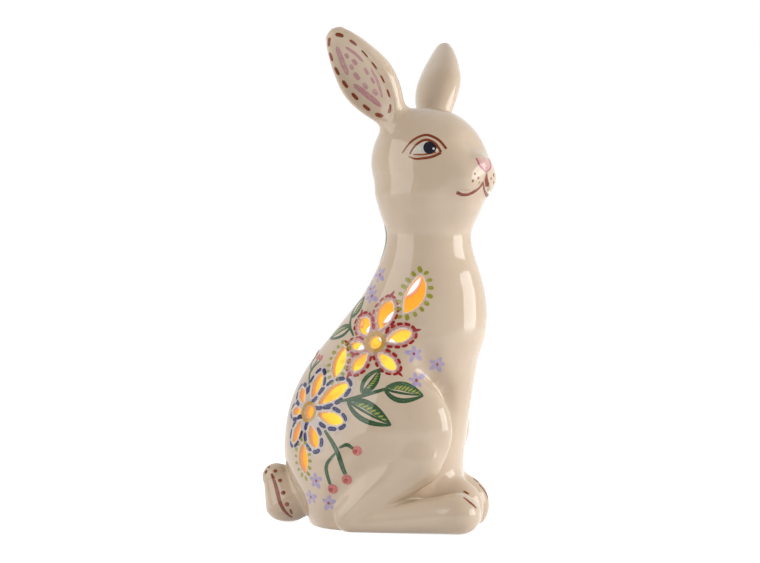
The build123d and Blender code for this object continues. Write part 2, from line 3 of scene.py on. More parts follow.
import bpy
import numpy as np
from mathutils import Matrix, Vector


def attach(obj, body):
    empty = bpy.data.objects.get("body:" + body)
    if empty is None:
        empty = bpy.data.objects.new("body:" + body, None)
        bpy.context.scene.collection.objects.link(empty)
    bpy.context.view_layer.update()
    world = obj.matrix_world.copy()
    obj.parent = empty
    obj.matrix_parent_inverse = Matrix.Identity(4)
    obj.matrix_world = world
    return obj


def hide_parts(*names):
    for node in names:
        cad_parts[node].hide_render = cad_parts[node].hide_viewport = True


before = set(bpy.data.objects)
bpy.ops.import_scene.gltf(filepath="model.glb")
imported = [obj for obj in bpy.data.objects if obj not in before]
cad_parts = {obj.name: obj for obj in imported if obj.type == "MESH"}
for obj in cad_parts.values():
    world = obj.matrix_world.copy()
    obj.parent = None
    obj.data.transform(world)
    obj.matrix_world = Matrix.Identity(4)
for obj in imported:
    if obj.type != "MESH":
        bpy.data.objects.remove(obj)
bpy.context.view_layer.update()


# The rabbit: one slip-cast earthenware shell, pierced by hand while the clay was still soft, painted and
# dipped in a clear glossy glaze. Its form is a soft joining of rounded masses, worked out in millimetres
# in the frame of the CAD, and its skin is drawn where that form meets the air.
mm = 0.001
wall = 4.5
floor_top = 8.3
opening_radius = 33.0
seat_radius, seat_depth = 37.5, 3.8  # the step that the light unit's flange sits in
torso_levels = np.array(  # height, forward lean, half depth, half width
    [
        (0, 5.5, 45.5, 45),
        (15, 4, 49.5, 49.5),
        (45, -2, 56, 52),
        (60, -2, 56, 51),
        (86, 1.5, 54, 47.5),
        (100, 7, 53, 45),
        (113, 15, 52.5, 42.5),
        (126, 24, 51, 39.5),
        (140, 31.5, 47, 37),
        (153, 36.5, 41.5, 34),
        (167, 39, 36, 31),
        (180, 39.7, 31, 28.5),
        (194, 39.7, 27.6, 26.3),
        (212, 39.7, 27.6, 26.8),
        (224, 39.7, 23, 22.5),
        (234, 39.7, 9, 9),
    ]
)
chest_levels = np.array(
    [
        (0, 48, 15, 24),
        (20, 48, 15, 24),
        (46, 48, 15.5, 24),
        (60, 48, 17, 24.5),
        (86, 49.5, 19.5, 26),
        (100, 50.5, 20.5, 27),
        (113, 52, 21, 27),
        (126, 54, 21, 26),
        (140, 54.2, 18, 22),
        (150, 53, 14, 16),
    ]
)
hock_furrow = [(54, 20, 6), (59, 15, 18), (62.5, 2, 31), (63, -12, 43), (62, -26, 56)]
elbow_furrow = [(46, -44, 126), (41, -48, 109), (37, -51.5, 99), (32.5, -58, 89)]
elbow_furrow += [(31, -61.5, 78), (31, -64, 62)]
toe_ends = {-1: -81.5, 1: -72.0}  # the left hind foot is drawn back
neck_axis = -40.0
head_turn = math.radians(28.0)
eye_corner = (29.3, -20.6)
eye_sine, eye_cosine = 0.473, 0.883  # of the way the eye faces
ear_root = np.array([17.4, 8.0, 262.0])
ear_tip = np.array([61.0, 33.5, 328.0])
ear_facing = np.array([0.985, -0.17, 0.0])
ear_levels = np.array(  # share of the length, half width, half depth
    [
        (0, 5.4, 7),
        (0.12, 8, 8.8),
        (0.3, 15.6, 12.4),
        (0.5, 19.3, 13.5),
        (0.7, 16.4, 11),
        (0.85, 12, 7.6),
        (0.94, 8, 5.2),
        (0.985, 4.5, 3.2),
        (1, 0.8, 0.8),
    ]
)
cut_sunk, cut_half_depth, cut_soft = 2.0, 15.0, 0.9  # the knife's way through the wall
patch_reach = 40.0
flower_eye = 4.2
belly_share = 0.60  # how far along a petal it is widest
# each petal: angle and distance of its root, angle and distance of its tip, width
upper_petals = [
    (78, 9.4, 76, 29.1, 11.0),
    (10, 8.2, 19, 23.9, 7.8),
    (-66, 8.4, -50, 21.9, 6.6),
    (-123, 9.2, -125, 23.4, 7.0),
    (-152, 8.8, -177, 17.3, 5.2),
    (142, 9.0, 125, 21.4, 8.4),
]
lower_petals = [
    (40, 9.4, 39, 32.5, 9.1),
    (-6, 8.2, -9, 26.6, 7.6),
    (-73, 9.6, -67, 24.5, 7.6),
    (-138, 9.6, -124, 24.5, 6.8),
    (180, 8.9, 179, 19.3, 5.6),
    (139, 9.4, 134, 21.6, 6.6),
    (87, 9.6, 84, 26.4, 8.2),
]
# each leaf: slope, half length, how far its two sides bulge
leaf_cuts = [(68.0, 13.7, 4.4, 7.6), (90.0, 11.3, 4.1, 5.2), (94.0, 9.8, 4.6, 4.2)]
# two flowers and three leaves on the right and on the left flank: height, place round the body, own turn
flank_places = {
    -1: [(123.5, 12.0, 0), (77.4, 36.5, 0), (155.0, 2.0, 0), (110.7, 31.0, 0), (46.6, 38.0, 0)],
    1: [(131.5, 42.0, 20), (70.0, 14.0, -20), (164.0, 29.0, 0), (108.0, 72.0, 0), (44.0, 44.0, 0)],
}


def meet(a, b, soft):
    """The nearer of two forms, with a fillet of even flow where they join."""
    overlap = np.maximum(1 - np.abs(a - b) / (1.5 * soft), 0)
    return np.minimum(a, b) - 0.25 * soft * overlap**3


def carve(a, b, soft):
    """The first form less the second, with a rounded edge."""
    return -meet(-a, b, soft)


def along_levels(height, levels, column):
    """A column of a list of levels at any height, in a smooth run through all of them."""
    heights, values = levels[:, 0], levels[:, column]
    slopes = np.gradient(values, heights)
    height = np.clip(height, heights[0], heights[-1])
    low = np.clip(np.searchsorted(heights, height) - 1, 0, len(heights) - 2)
    step = heights[low + 1] - heights[low]
    t = (height - heights[low]) / step
    rise = t * t * (3 - 2 * t)
    bend = step * t * (1 - t) * ((1 - t) * slopes[low] - t * slopes[low + 1])
    return values[low] + (values[low + 1] - values[low]) * rise + bend


def level_stack(x, y, z, levels):
    """Distance to a form that is an oval at each level."""
    forward, half_depth, half_width = (along_levels(z, levels, column) for column in (1, 2, 3))
    across, along = x / half_width, (y + forward) / half_depth
    reach = np.sqrt(across**2 + along**2)
    slope = np.sqrt((across / half_width) ** 2 + (along / half_depth) ** 2)
    side = 0.9 * reach * (reach - 1) / np.maximum(slope, 1e-6)
    return np.maximum(side, z - levels[-1, 0])


def ball(x, y, z, middle, sizes):
    """Distance to an egg with a middle and three half sizes."""
    x, y, z = x - middle[0], y - middle[1], z - middle[2]
    reach = np.sqrt((x / sizes[0]) ** 2 + (y / sizes[1]) ** 2 + (z / sizes[2]) ** 2)
    slope = np.sqrt((x / sizes[0] ** 2) ** 2 + (y / sizes[1] ** 2) ** 2 + (z / sizes[2] ** 2) ** 2)
    return reach * (reach - 1) / np.maximum(slope, 1e-6)


def limb(x, y, z, start, end, start_radius, end_radius, flat):
    """Distance to a rounded limb between two points, as wide as it is deep where flat is 1."""
    ex, ey, ez = (b - a for a, b in zip(start, end))
    qy, qz = y - start[1], z - start[2]
    t = np.clip((qy * ey + qz * ez) / (ey * ey + ez * ez), 0, 1)
    gap = np.sqrt(((x - start[0] - t * ex) / flat) ** 2 + (qy - t * ey) ** 2 + (qz - t * ez) ** 2)
    return (gap - start_radius - (end_radius - start_radius) * t) * min(1.0, flat + 0.15)


def ear_frame(side):
    """Root and length of an ear, and the ways along it, across it and out of its scoop."""
    root, rise, outward = (way * (side, 1, 1) for way in (ear_root, ear_tip - ear_root, ear_facing))
    length = np.linalg.norm(rise)
    along = rise / length
    outward = outward - (outward @ along) * along
    outward /= np.linalg.norm(outward)
    return root, length, along, np.cross(outward, along), outward


def ear_field(x, y, z, side):
    """Distance to an ear: a leaf-shaped flap with a scoop in its face."""
    root, length, along, across, outward = ear_frame(side)
    qx, qy, qz = x - root[0], y - root[1], z - root[2]
    a, w, n = (qx * d[0] + qy * d[1] + qz * d[2] for d in (along, across, outward))
    place = np.clip(a / length, 0, 1)
    half_width, half_depth = (along_levels(place, ear_levels, column) for column in (1, 2))
    qw, qn = w / half_width, (n + 2.0) / half_depth
    reach = np.sqrt(qw**2 + qn**2)
    slope = np.sqrt((qw / half_width) ** 2 + (qn / half_depth) ** 2)
    flap = reach * (reach - 1) / np.maximum(slope, 1e-6)
    over = np.maximum(a - length, -a)
    flap = np.where(over > 0, np.sqrt(np.maximum(flap, 0) ** 2 + over**2), flap)
    scoop = ball(a, w, n, (0.57 * length, 0, 9.5), (36.0, 16.0, 11.0))
    return carve(0.9 * flap, 0.9 * scoop, 2.5)


def head_frame(x, y):
    """Places about the upright axis of the neck, seen along the turned head."""
    return (
        math.cos(head_turn) * x - math.sin(head_turn) * (y - neck_axis),
        math.sin(head_turn) * x + math.cos(head_turn) * (y - neck_axis),
    )


def groove(x, y, z, path, radius):
    """A round furrow along a run of points."""
    furrow = 99.0
    for start, end in zip(path, path[1:]):
        furrow = np.minimum(furrow, limb(x, y, z, start, end, radius, radius, 1.0))
    return furrow


def clay_head(x, y, z):
    """The cranium alone, and the whole head with its ears and face, about the upright axis of the neck."""
    cranium = ball(x, y, z, (0, 0.6, 243), (36, 39.3, 36.2))
    muzzle = ball(x, y, z, (0, -24, 235), (21, 22, 19))
    head = meet(cranium, muzzle, 14)
    for side in (-1, 1):
        cheek = ball(x, y, z, (14 * side, -3, 225), (21.5, 27, 17))
        head = meet(head, cheek, 8)
    bridge_dip = ball(x, y, z, (0, -50, 257), (26, 13, 9))
    head = carve(head, bridge_dip, 9)
    chin = ball(x, y, z, (0, -25, 217.5), (13, 12, 9))
    head = meet(head, chin, 8)
    for side in (-1, 1):
        whisker_pad = ball(x, y, z, (9 * side, -34, 231), (12, 12, 11))
        head = meet(head, whisker_pad, 5)
        ex, ey = side * x - eye_corner[0], y - eye_corner[1]
        across, outward = eye_sine * ex + eye_cosine * ey, eye_cosine * ex - eye_sine * ey
        eye = ball(across, outward, z, (0, -4.2, 248.6), (14, 5, 8))
        head = meet(head, eye, 1.0)
        head = meet(head, ear_field(x, y, z, side), 12)
    nose = ball(x, y, z, (0, -42.2, 239), (7.5, 4.5, 6))
    head = meet(head, nose, 6)
    for side in (-1, 1):
        lips = [(0, -49.3, 228.3), (side * 8.7, -44.2, 220.2), (side * 17.7, -38.6, 220.0)]
        head = carve(head, groove(x, y, z, lips, 3.0), 1.2)
    return cranium, head


def clay_form(x, y, z):
    """The solid rabbit and, with it, the torso, chest and head that are hollow."""
    core = meet(level_stack(x, y, z, torso_levels), level_stack(x, y, z, chest_levels), 10)
    for side in (-1, 1):
        core = carve(core, groove(side * x, y, z, hock_furrow, 14.0), 4)
        core = carve(core, groove(side * x, y, z, elbow_furrow, 9.0), 6)
    form = core
    for side in (-1, 1):
        toes = toe_ends[side]
        haunch = ball(x, y, z, (35 * side, -24, 66), (20, 38, 38))
        shank = limb(x, y, z, (40 * side, -37, 47), (46 * side, 5, 10), 19, 9, 0.75)
        foot = limb(x, y, z, (41 * side, toes + 15.5, 12.5), (43 * side, 2, 5.5), 13.5, 8.5, 1.1)
        toe_pad = ball(x, y, z, (41 * side, toes + 14.5, 12.5), (14.5, 14.5, 12.5))
        paw = ball(x, y, z, (12.5 * side, -60, 13.5), (13.5, 19, 19.5))
        for mass, soft in ((haunch, 6), (shank, 4), (foot, 2.5), (toe_pad, 4), (paw, 7)):
            form = meet(form, mass, soft)
    tail = limb(x, y, z, (0, 57.5, 15.8), (0, 65.5, 30), 16.8, 9.5, 0.95)
    form = meet(form, tail, 7)
    cranium, head = clay_head(*head_frame(x, y), z)
    form = meet(form, head, 22)
    return carve(form, z, 2.5), meet(core, cranium, 10)


def flank_canvas(height, around, own_turn=0):
    """Middle, two directions and outward of a patch of the right flank: forward and up, less its own turn."""
    turn, own_turn = math.radians(around), math.radians(own_turn)
    lean, depth, width = (along_levels(np.array([height, height + 4.5]), torso_levels, c) for c in (1, 2, 3))
    spots = np.stack([-width * math.cos(turn), depth * math.sin(turn) - lean, [height, height + 4.5]], 1)
    forward = np.array([-width[0] * math.sin(turn), -depth[0] * math.cos(turn), 0])
    forward /= np.linalg.norm(forward)
    outward = np.cross(forward, spots[1] - spots[0])
    outward /= np.linalg.norm(outward)
    up = np.cross(outward, forward)
    first = forward * math.cos(own_turn) + up * math.sin(own_turn)
    return spots[0], first, np.cross(outward, first), outward


def petal_ends(petal):
    """Root and tip of a petal on its canvas."""
    root_angle, root, tip_angle, tip, _ = petal
    for angle, distance in ((math.radians(root_angle), root), (math.radians(tip_angle), tip)):
        yield distance * np.array([math.cos(angle), math.sin(angle)])


def petal_shape(u, v, petal):
    """Distance to a petal: a fine root, a round belly and a blunt tip, on a straight rib."""
    root, tip = petal_ends(petal)
    width = petal[4]
    length = np.linalg.norm(tip - root)
    rib = (tip - root) / length
    a = (u - root[0]) * rib[0] + (v - root[1]) * rib[1]
    b = np.abs((v - root[1]) * rib[0] - (u - root[0]) * rib[1])
    belly, tip_round = belly_share * length, 0.26 * width
    stops = [(1.0, 1.0), (0.30 * length, 0.35 * width), (0.45 * length, 0.46 * width), (belly, 0.50 * width)]
    stops += [((belly + length - tip_round) / 2, 0.42 * width), (length - tip_round, tip_round)]
    shape = np.hypot(a - stops[0][0], b) - stops[0][1]
    for (low, low_radius), (high, high_radius) in zip(stops, stops[1:]):
        lean = (low_radius - high_radius) / (high - low)
        rest = math.sqrt(1 - lean * lean)
        t = np.clip((a - low - b * lean / rest) / (high - low), 0, 1)
        gap = np.hypot(a - low - t * (high - low), b)
        shape = np.minimum(shape, gap - low_radius - t * (high_radius - low_radius))
    return shape


def leaf_shape(u, v, leaf):
    """Distance to a leaf: two arcs that meet at both tips."""
    slope, half_length, left, right = math.radians(leaf[0]), *leaf[1:]
    a = np.abs(u * math.cos(slope) + v * math.sin(slope))
    b = v * math.cos(slope) - u * math.sin(slope)
    left_radius, right_radius = ((half_length**2 + s * s) / (2 * s) for s in (left, right))
    left_side = np.hypot(a, b - left + left_radius) - left_radius
    right_side = np.hypot(a, b + right - right_radius) - right_radius
    return np.maximum(left_side, right_side)


def pierced(field, x, y, z):
    """The field with the flowers and leaves cut through both flanks."""
    for side, places in flank_places.items():
        for patch, cut in zip(places, [upper_petals, lower_petals, *leaf_cuts]):
            middle, forward, up, outward = flank_canvas(*patch)
            qx, qy, qz = -side * x - middle[0], y - middle[1], z - middle[2]
            u, v, n = (qx * d[0] + qy * d[1] + qz * d[2] for d in (forward, up, outward))
            near = (np.abs(n + cut_sunk) < cut_half_depth + 5) & (np.hypot(u, v) < patch_reach)
            u, v, n = u[near], v[near], n[near]
            if isinstance(cut, tuple):
                shape = leaf_shape(u, v, cut)
            else:
                shape = np.hypot(u, v) - flower_eye
                for petal in cut:
                    shape = np.minimum(shape, petal_shape(u, v, petal))
            cut_through = np.maximum(shape, np.abs(n + cut_sunk) - cut_half_depth)
            field[near] = carve(field[near], cut_through, cut_soft)
    return field


def shell_field(x, y, z, openings=True):
    """Distance to the hollow, pierced and footed clay."""
    form, core = clay_form(x, y, z)
    shell = carve(form, np.maximum(core + wall, floor_top - z), 1.0)
    from_axis = np.hypot(x, y)
    base = np.minimum(from_axis - opening_radius, np.maximum(from_axis - seat_radius, z - seat_depth))
    shell = carve(shell, np.maximum(base, z - floor_top - 4), 0.8)
    return pierced(shell, x, y, z) if openings else shell


def field_grid(spacing):
    """The clay on a grid, worked out only in the blocks that its skin passes through."""
    low, high = np.array([-68.0, -92.0, -3.0]), np.array([76.0, 84.0, 333.0])
    block = 8
    count = np.ceil((high - low) / (spacing * block)).astype(int)
    axes = [low[k] + spacing * np.arange(count[k] * block + 1) for k in range(3)]
    centres = [axis[:-1].reshape(-1, block).mean(1) + spacing / 2 for axis in axes]
    coarse = shell_field(*np.meshgrid(*centres, indexing="ij"))
    reach = 0.5 * block * spacing * math.sqrt(3) * 1.35 + 1.0
    grid = np.repeat(np.repeat(np.repeat(np.where(coarse < 0, -9.0, 9.0), block, 0), block, 1), block, 2)
    grid = np.pad(grid, ((0, 1), (0, 1), (0, 1)), mode="edge").astype(np.float32)
    near = np.argwhere(np.abs(coarse) < reach)
    step = np.arange(block + 1)
    for part in np.array_split(near, max(1, len(near) // 400)):
        ix, iy, iz = (
            (part[:, k] * block)[:, None, None, None] + step.reshape([-1 if j == k else 1 for j in range(3)])
            for k in range(3)
        )
        ix, iy, iz = np.broadcast_arrays(ix, iy, iz)
        grid[ix, iy, iz] = shell_field(axes[0][ix], axes[1][iy], axes[2][iz])
    return grid, low


def skin_of(grid, low, spacing):
    """A vertex in each cell that the skin passes through, and a quad across each edge that it cuts."""
    inside = grid < 0
    cells_inside = np.zeros([n - 1 for n in grid.shape], np.int8)
    corners = [(i, j, k) for i in (0, 1) for j in (0, 1) for k in (0, 1)]
    for corner in corners:
        cells_inside += inside[tuple(slice(at, at + n - 1) for at, n in zip(corner, grid.shape))]
    cells = np.argwhere((cells_inside > 0) & (cells_inside < 8))
    number = -np.ones(cells_inside.shape, np.int64)
    number[tuple(cells.T)] = np.arange(len(cells))
    total, crossings = np.zeros((len(cells), 3)), np.zeros(len(cells))
    for corner in corners:
        for axis in range(3):
            if corner[axis]:
                continue
            other = list(corner)
            other[axis] = 1
            a = grid[tuple((cells + corner).T)]
            b = grid[tuple((cells + other).T)]
            cut = (a < 0) != (b < 0)
            spot = np.tile(np.array(corner, float), (len(cells), 1))
            spot[:, axis] += np.where(cut, a / np.where(cut, a - b, 1), 0)
            total[cut] += spot[cut]
            crossings[cut] += 1
    points = low + (cells + total / crossings[:, None]) * spacing
    quads = []
    for axis in range(3):
        u, v = (axis + 1) % 3, (axis + 2) % 3
        a = np.take(inside, range(grid.shape[axis] - 1), axis)
        b = np.take(inside, range(1, grid.shape[axis]), axis)
        edges = np.argwhere(a != b)
        outward = inside[tuple(edges.T)]
        ring = []
        for du, dv in ((-1, -1), (0, -1), (0, 0), (-1, 0)):
            cell = edges.copy()
            cell[:, u] += du
            cell[:, v] += dv
            ring.append(number[tuple(cell.T)])
        ring = np.stack(ring, 1)
        ring[~outward] = ring[~outward][:, ::-1]
        quads.append(ring)
    return points, np.concatenate(quads)


def slope_of(field, points, reach=0.25):
    """Unit direction in which a field rises."""
    steps = np.array([(1, -1, -1), (-1, -1, 1), (-1, 1, -1), (1, 1, 1)]) * reach
    rise = sum(step * field(*(points + step).T)[:, None] for step in steps)
    return rise / np.maximum(np.linalg.norm(rise, axis=1, keepdims=True), 1e-9)


skin_spacing = 1.0
skin_triangles = 192000
clay_grid, clay_low = field_grid(skin_spacing)
skin_points, skin_quads = skin_of(clay_grid, clay_low, skin_spacing)
rough_mesh = bpy.data.meshes.new("rough_skin")
rough_mesh.from_pydata((skin_points * mm).tolist(), [], skin_quads.tolist())
rough_rabbit = bpy.data.objects.new("rough_skin", rough_mesh)
bpy.context.scene.collection.objects.link(rough_rabbit)
thinning = rough_rabbit.modifiers.new("thinning", "DECIMATE")
thinning.ratio = min(1.0, skin_triangles / (2 * len(skin_quads)))
thinning.use_collapse_triangulate = True
thinned_rabbit = rough_rabbit.evaluated_get(bpy.context.evaluated_depsgraph_get())
rabbit_mesh = bpy.data.meshes.new_from_object(thinned_rabbit)
bpy.data.objects.remove(rough_rabbit)
rabbit_mesh.name = "glazed_rabbit"
skin_points = np.zeros(len(rabbit_mesh.vertices) * 3)
rabbit_mesh.vertices.foreach_get("co", skin_points)
skin_points = skin_points.reshape(-1, 3) / mm
for _ in range(3):
    skin_normals = slope_of(shell_field, skin_points)
    skin_points -= skin_normals * np.clip(shell_field(*skin_points.T), -0.4, 0.4)[:, None]
skin_points[:, 2] = np.maximum(skin_points[:, 2], 0)
skin_normals = slope_of(shell_field, skin_points)
rabbit_mesh.vertices.foreach_set("co", (skin_points * mm).astype(np.float32).ravel())
rabbit_mesh.polygons.foreach_set("use_smooth", np.ones(len(rabbit_mesh.polygons), bool))
rabbit_mesh.update()
rabbit_mesh.normals_split_custom_set_from_vertices(skin_normals.tolist())


def carry(mesh, label, values):
    """Let each point of a mesh carry a value."""
    layer = mesh.attributes.new(label, "FLOAT", "POINT")
    layer.data.foreach_set("value", np.asarray(values, np.float32))


carry(rabbit_mesh, "depth", np.clip(-clay_form(*skin_points.T)[0], 0, 12))
# painted shade: how closed in each point of the skin is, from how near the clay lies 3 and 8 mm out along its
# outward way; it darkens the glaze in creases and hollows, and stands partly for the glaze lying thicker
# there
hollow_shade = 0
for reach in (3, 8):
    room_left = shell_field(*(skin_points + skin_normals * reach).T, openings=False)
    hollow_shade = hollow_shade + np.clip(1 - room_left / reach, 0, 1)
carry(rabbit_mesh, "crease_shade_and_pooling", hollow_shade / 2)


def fading(value, low, high):
    """One below a first value, none above a second, with a soft passage between."""
    t = np.clip((high - value) / (high - low), 0, 1)
    return t * t * (3 - 2 * t)


# watery washes about the openings: mauve on the upper flower, pale blue on the lower one, and at each rim a
# pale white band, partly bare white clay and partly a painted highlight along the rounded edge
washes = np.zeros((len(skin_points), 4))
rim_white = (0.86, 0.80, 0.70)
mauve = ((0.49, 0.165, 0.20), 3.6, 0.95)  # tint, reach and strength
pale_blue = ((0.46, 0.48, 0.60), 6.0, 0.50)


def lay_wash(rows, strength, tint):
    """A wash, where it is stronger than what is there."""
    stronger = strength > washes[rows, 3]
    washes[rows[stronger], :3] = tint
    washes[rows[stronger], 3] = strength[stronger]


for side, places in flank_places.items():
    cuts = zip(places, [upper_petals, lower_petals, *leaf_cuts], [mauve, pale_blue, None, None, None])
    for patch, cut, wash in cuts:
        middle, first, second, outward = flank_canvas(*patch)
        offsets = skin_points * (-side, 1, 1) - middle
        u, v, n = (offsets @ way for way in (first, second, outward))
        on_patch = (np.abs(n) < 16) & (np.hypot(u, v) < patch_reach + 6)
        near = np.flatnonzero(on_patch & (-side * skin_points[:, 0] < 0))
        u, v = u[near], v[near]
        if wash is None:
            shape = leaf_shape(u, v, cut)
        else:
            tint, reach, strength = wash
            shape = np.min([petal_shape(u, v, petal) for petal in cut], 0)
            band = strength * fading(shape, reach - 1.1, reach) * (1 - fading(shape, 0.6, 1.2))
            patches = 0.75 + 0.25 * np.sin(0.9 * u + 2.3 * np.sin(0.5 * v)) * np.sin(0.8 * v)
            lay_wash(near, band * patches, tint)
            shape = np.minimum(shape, np.hypot(u, v) - flower_eye)
        # the pale white band at each rim: partly bare white clay, partly a painted highlight along the
        # rounded edge
        lay_wash(near, 0.85 * fading(shape, 0.5, 1.3), rim_white)
wash_layer = rabbit_mesh.attributes.new("wash", "FLOAT_COLOR", "POINT")
wash_layer.data.foreach_set("color", washes.astype(np.float32).ravel())
carry(rabbit_mesh, "wash_weight", washes[:, 3])
rabbit = bpy.data.objects.new("glazed_rabbit", rabbit_mesh)
bpy.context.scene.collection.objects.link(rabbit)


def open_group(name, inputs, outputs):
    """A new shader group with its sockets, and its nodes, links and two ends to build on."""
    group = bpy.data.node_groups.new(name, "ShaderNodeTree")
    for way, sockets in (("INPUT", inputs), ("OUTPUT", outputs)):
        for label, kind in sockets.items():
            group.interface.new_socket(label, in_out=way, socket_type="NodeSocket" + kind)
    ends = group.nodes.new("NodeGroupInput"), group.nodes.new("NodeGroupOutput")
    return group, group.nodes, group.links, *ends


def open_material(name):
    """A new material, and its nodes, links and shader to build on."""
    material = bpy.data.materials.new(name)
    material.use_nodes = True
    tree = material.node_tree
    return material, tree.nodes, tree.links, tree.nodes["Principled BSDF"]


def fill_in(node, values):
    """Set some of a node's inputs."""
    for label, value in values.items():
        node.inputs[label].default_value = value


def toned(first, second, share):
    """A mix of two colours, or of the colours that two nodes give, by a share."""
    mixed = nodes.new("ShaderNodeMix")
    mixed.data_type = "RGBA"
    for socket, colour in ((6, first), (7, second)):
        if isinstance(colour, tuple):
            mixed.inputs[socket].default_value = (*colour, 1)
        else:
            links.new(colour, mixed.inputs[socket])
    links.new(share, mixed.inputs["Factor"])
    return mixed.outputs[2]


def ramped(value, low, high, start=0.0, end=1.0, way="SMOOTHSTEP"):
    """A value carried from one range to another, held at the ends."""
    ramp = nodes.new("ShaderNodeMapRange")
    ramp.interpolation_type = way
    fill_in(ramp, {"From Min": low, "From Max": high, "To Min": start, "To Max": end})
    links.new(value, ramp.inputs["Value"])
    return ramp.outputs["Result"]


def read(label, output="Fac"):
    """A value that the skin's points carry."""
    node = nodes.new("ShaderNodeAttribute")
    node.attribute_name = label
    return node.outputs[output]


def clouded(scale, detail, vector=None):
    """Soft noise, in the piece's own space unless another is given."""
    cloud = nodes.new("ShaderNodeTexNoise")
    fill_in(cloud, {"Scale": scale, "Detail": detail})
    links.new(place.outputs["Object"] if vector is None else vector, cloud.inputs["Vector"])
    return cloud.outputs["Fac"]


def axes_of(vector):
    """The X, Y and Z of a place or direction."""
    split = nodes.new("ShaderNodeSeparateXYZ")
    links.new(vector, split.inputs["Vector"])
    return split.outputs


def reckoned(operation, first, second=None):
    """What two values, or a value and a number, come to."""
    sum_of = nodes.new("ShaderNodeMath")
    sum_of.operation = operation
    links.new(first, sum_of.inputs[0])
    if isinstance(second, float):
        sum_of.inputs[1].default_value = second
    elif second is not None:
        links.new(second, sum_of.inputs[1])
    return sum_of.outputs[0]


# the skin of the clear glaze, which all the painted colours share: nearly even gloss with a slow ripple
skin_sockets = {"Roughness": "Float", "Ripple": "Float"}
glaze_skin, nodes, links, given, made = open_group("glaze_skin", {}, skin_sockets)
place = nodes.new("ShaderNodeTexCoord")
ripple = clouded(70.0, 2.0)
links.new(ramped(ripple, 0.3, 0.7, 0.04, 0.08, "LINEAR"), made.inputs["Roughness"])
links.new(ripple, made.inputs["Ripple"])

glaze, nodes, links, shader = open_material("cream_glaze")
place = nodes.new("ShaderNodeTexCoord")
axes = axes_of(place.outputs["Object"])
cream = toned((0.675, 0.535, 0.40), (0.62, 0.48, 0.348), ramped(clouded(22.0, 3.0), 0.35, 0.65))
# painted shade: the cream turns a deeper tan in creases and hollows, partly also the glaze lying thicker
# there
cream = toned(cream, (0.47, 0.365, 0.245), ramped(read("crease_shade_and_pooling"), 0.30, 0.95, 0.0, 0.75))
cream = toned(cream, (0.40, 0.31, 0.20), ramped(clouded(520.0, 1.0), 0.77, 0.81, 0.0, 0.3))
cream = toned(cream, read("wash", "Color"), read("wash_weight"))
bare = ramped(axes["Z"], 0.0005, 0.0012, 1.0, 0.0)
cream = toned(cream, (0.66, 0.52, 0.38), bare)
# painted light: the cut walls of the openings are tinted an orange tan, as the lamp inside lights them; the
# inner face of the wall is a dark brown
cream = toned(cream, (0.70, 0.45, 0.27), ramped(read("depth"), 0.5, 1.5))
cream = toned(cream, (0.30, 0.14, 0.05), ramped(read("depth"), 4.1, 4.45))
links.new(cream, shader.inputs["Base Color"])
skin = nodes.new("ShaderNodeGroup")
skin.node_tree = glaze_skin
dull = ramped(axes["Z"], 0.0005, 0.0012, 0.75, 0.0)
links.new(reckoned("MAXIMUM", skin.outputs["Roughness"], dull), shader.inputs["Roughness"])
wave = nodes.new("ShaderNodeBump")
fill_in(wave, {"Strength": 0.06, "Distance": 0.002})
links.new(skin.outputs["Ripple"], wave.inputs["Height"])
links.new(wave.outputs["Normal"], shader.inputs["Normal"])

# painted light: the warm light of the lamp inside, given off by the clay itself, which fills the hollow and
# soaks the cut edges of the wall; the hollow's face glows yellow low down and orange higher up and towards
# the back, the cut edges a dim red-brown
hollow_glow_tone = toned((1.0, 0.78, 0.09), (1.0, 0.36, 0.04), ramped(axes["Z"], 0.112, 0.152))
hollow_glow_tone = toned(hollow_glow_tone, (0.95, 0.36, 0.05), ramped(axes["Y"], 0.025, 0.055))
hollow_glow_tone = toned(hollow_glow_tone, (0.95, 0.45, 0.07), ramped(clouded(75.0, 3.0), 0.48, 0.68, 0.0, 0.8))
wall_and_hollow_glow = toned((0.24, 0.10, 0.07), hollow_glow_tone, ramped(read("depth"), 4.2, 4.45))
painted_glow = toned((0.0, 0.0, 0.0), wall_and_hollow_glow, ramped(read("depth"), 0.6, 2.0))
links.new(painted_glow, shader.inputs["Emission Color"])
shader.inputs["Emission Strength"].default_value = 0.9
rabbit_mesh.materials.clear()
rabbit_mesh.materials.append(glaze)
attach(rabbit, "rabbit")
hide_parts("ceramic_rabbit")


# The brushwork: underglaze colours laid on by hand before the clear glaze. Every stroke is a thin pad of
# colour a tenth of a millimetre proud, rounded over at its edges, that lies on the clay and carries how far
# across and along the stroke each point is, so that the colour can streak and thin as a brush leaves it.
hand = np.random.default_rng(7)
# a stroke's cross-section: share of the half width, and height above the clay; the last is its underside
stroke_section = ((-1, -0.05), (-0.62, 0.09), (0, 0.13), (0.62, 0.09), (1, -0.05), (0, -0.12))
layer_rise = 0.11
# where strokes start before they are drawn onto the clay
beside_flank, behind_back, over_canvas = 78.0, 92.0, 14.0


def outside(x, y, z):
    """Distance to the outside of the clay, as if it had no openings."""
    return clay_form(x, y, z)[0]


def settle(points, rounds=5):
    """Points drawn onto the outside of the clay, and the way out of it there."""
    for _ in range(rounds):
        points = points - slope_of(outside, points) * outside(*points.T)[:, None]
    return points, slope_of(outside, points)


def flowing(points, count):
    """A smooth line through a few points."""
    points = np.array(points, float)
    lengths = np.concatenate([[0], np.cumsum(np.linalg.norm(np.diff(points, axis=0), axis=1))])
    rows = np.column_stack([lengths, points])
    places = np.linspace(0, lengths[-1], count)
    return np.stack([along_levels(places, rows, column + 1) for column in range(points.shape[1])], 1)


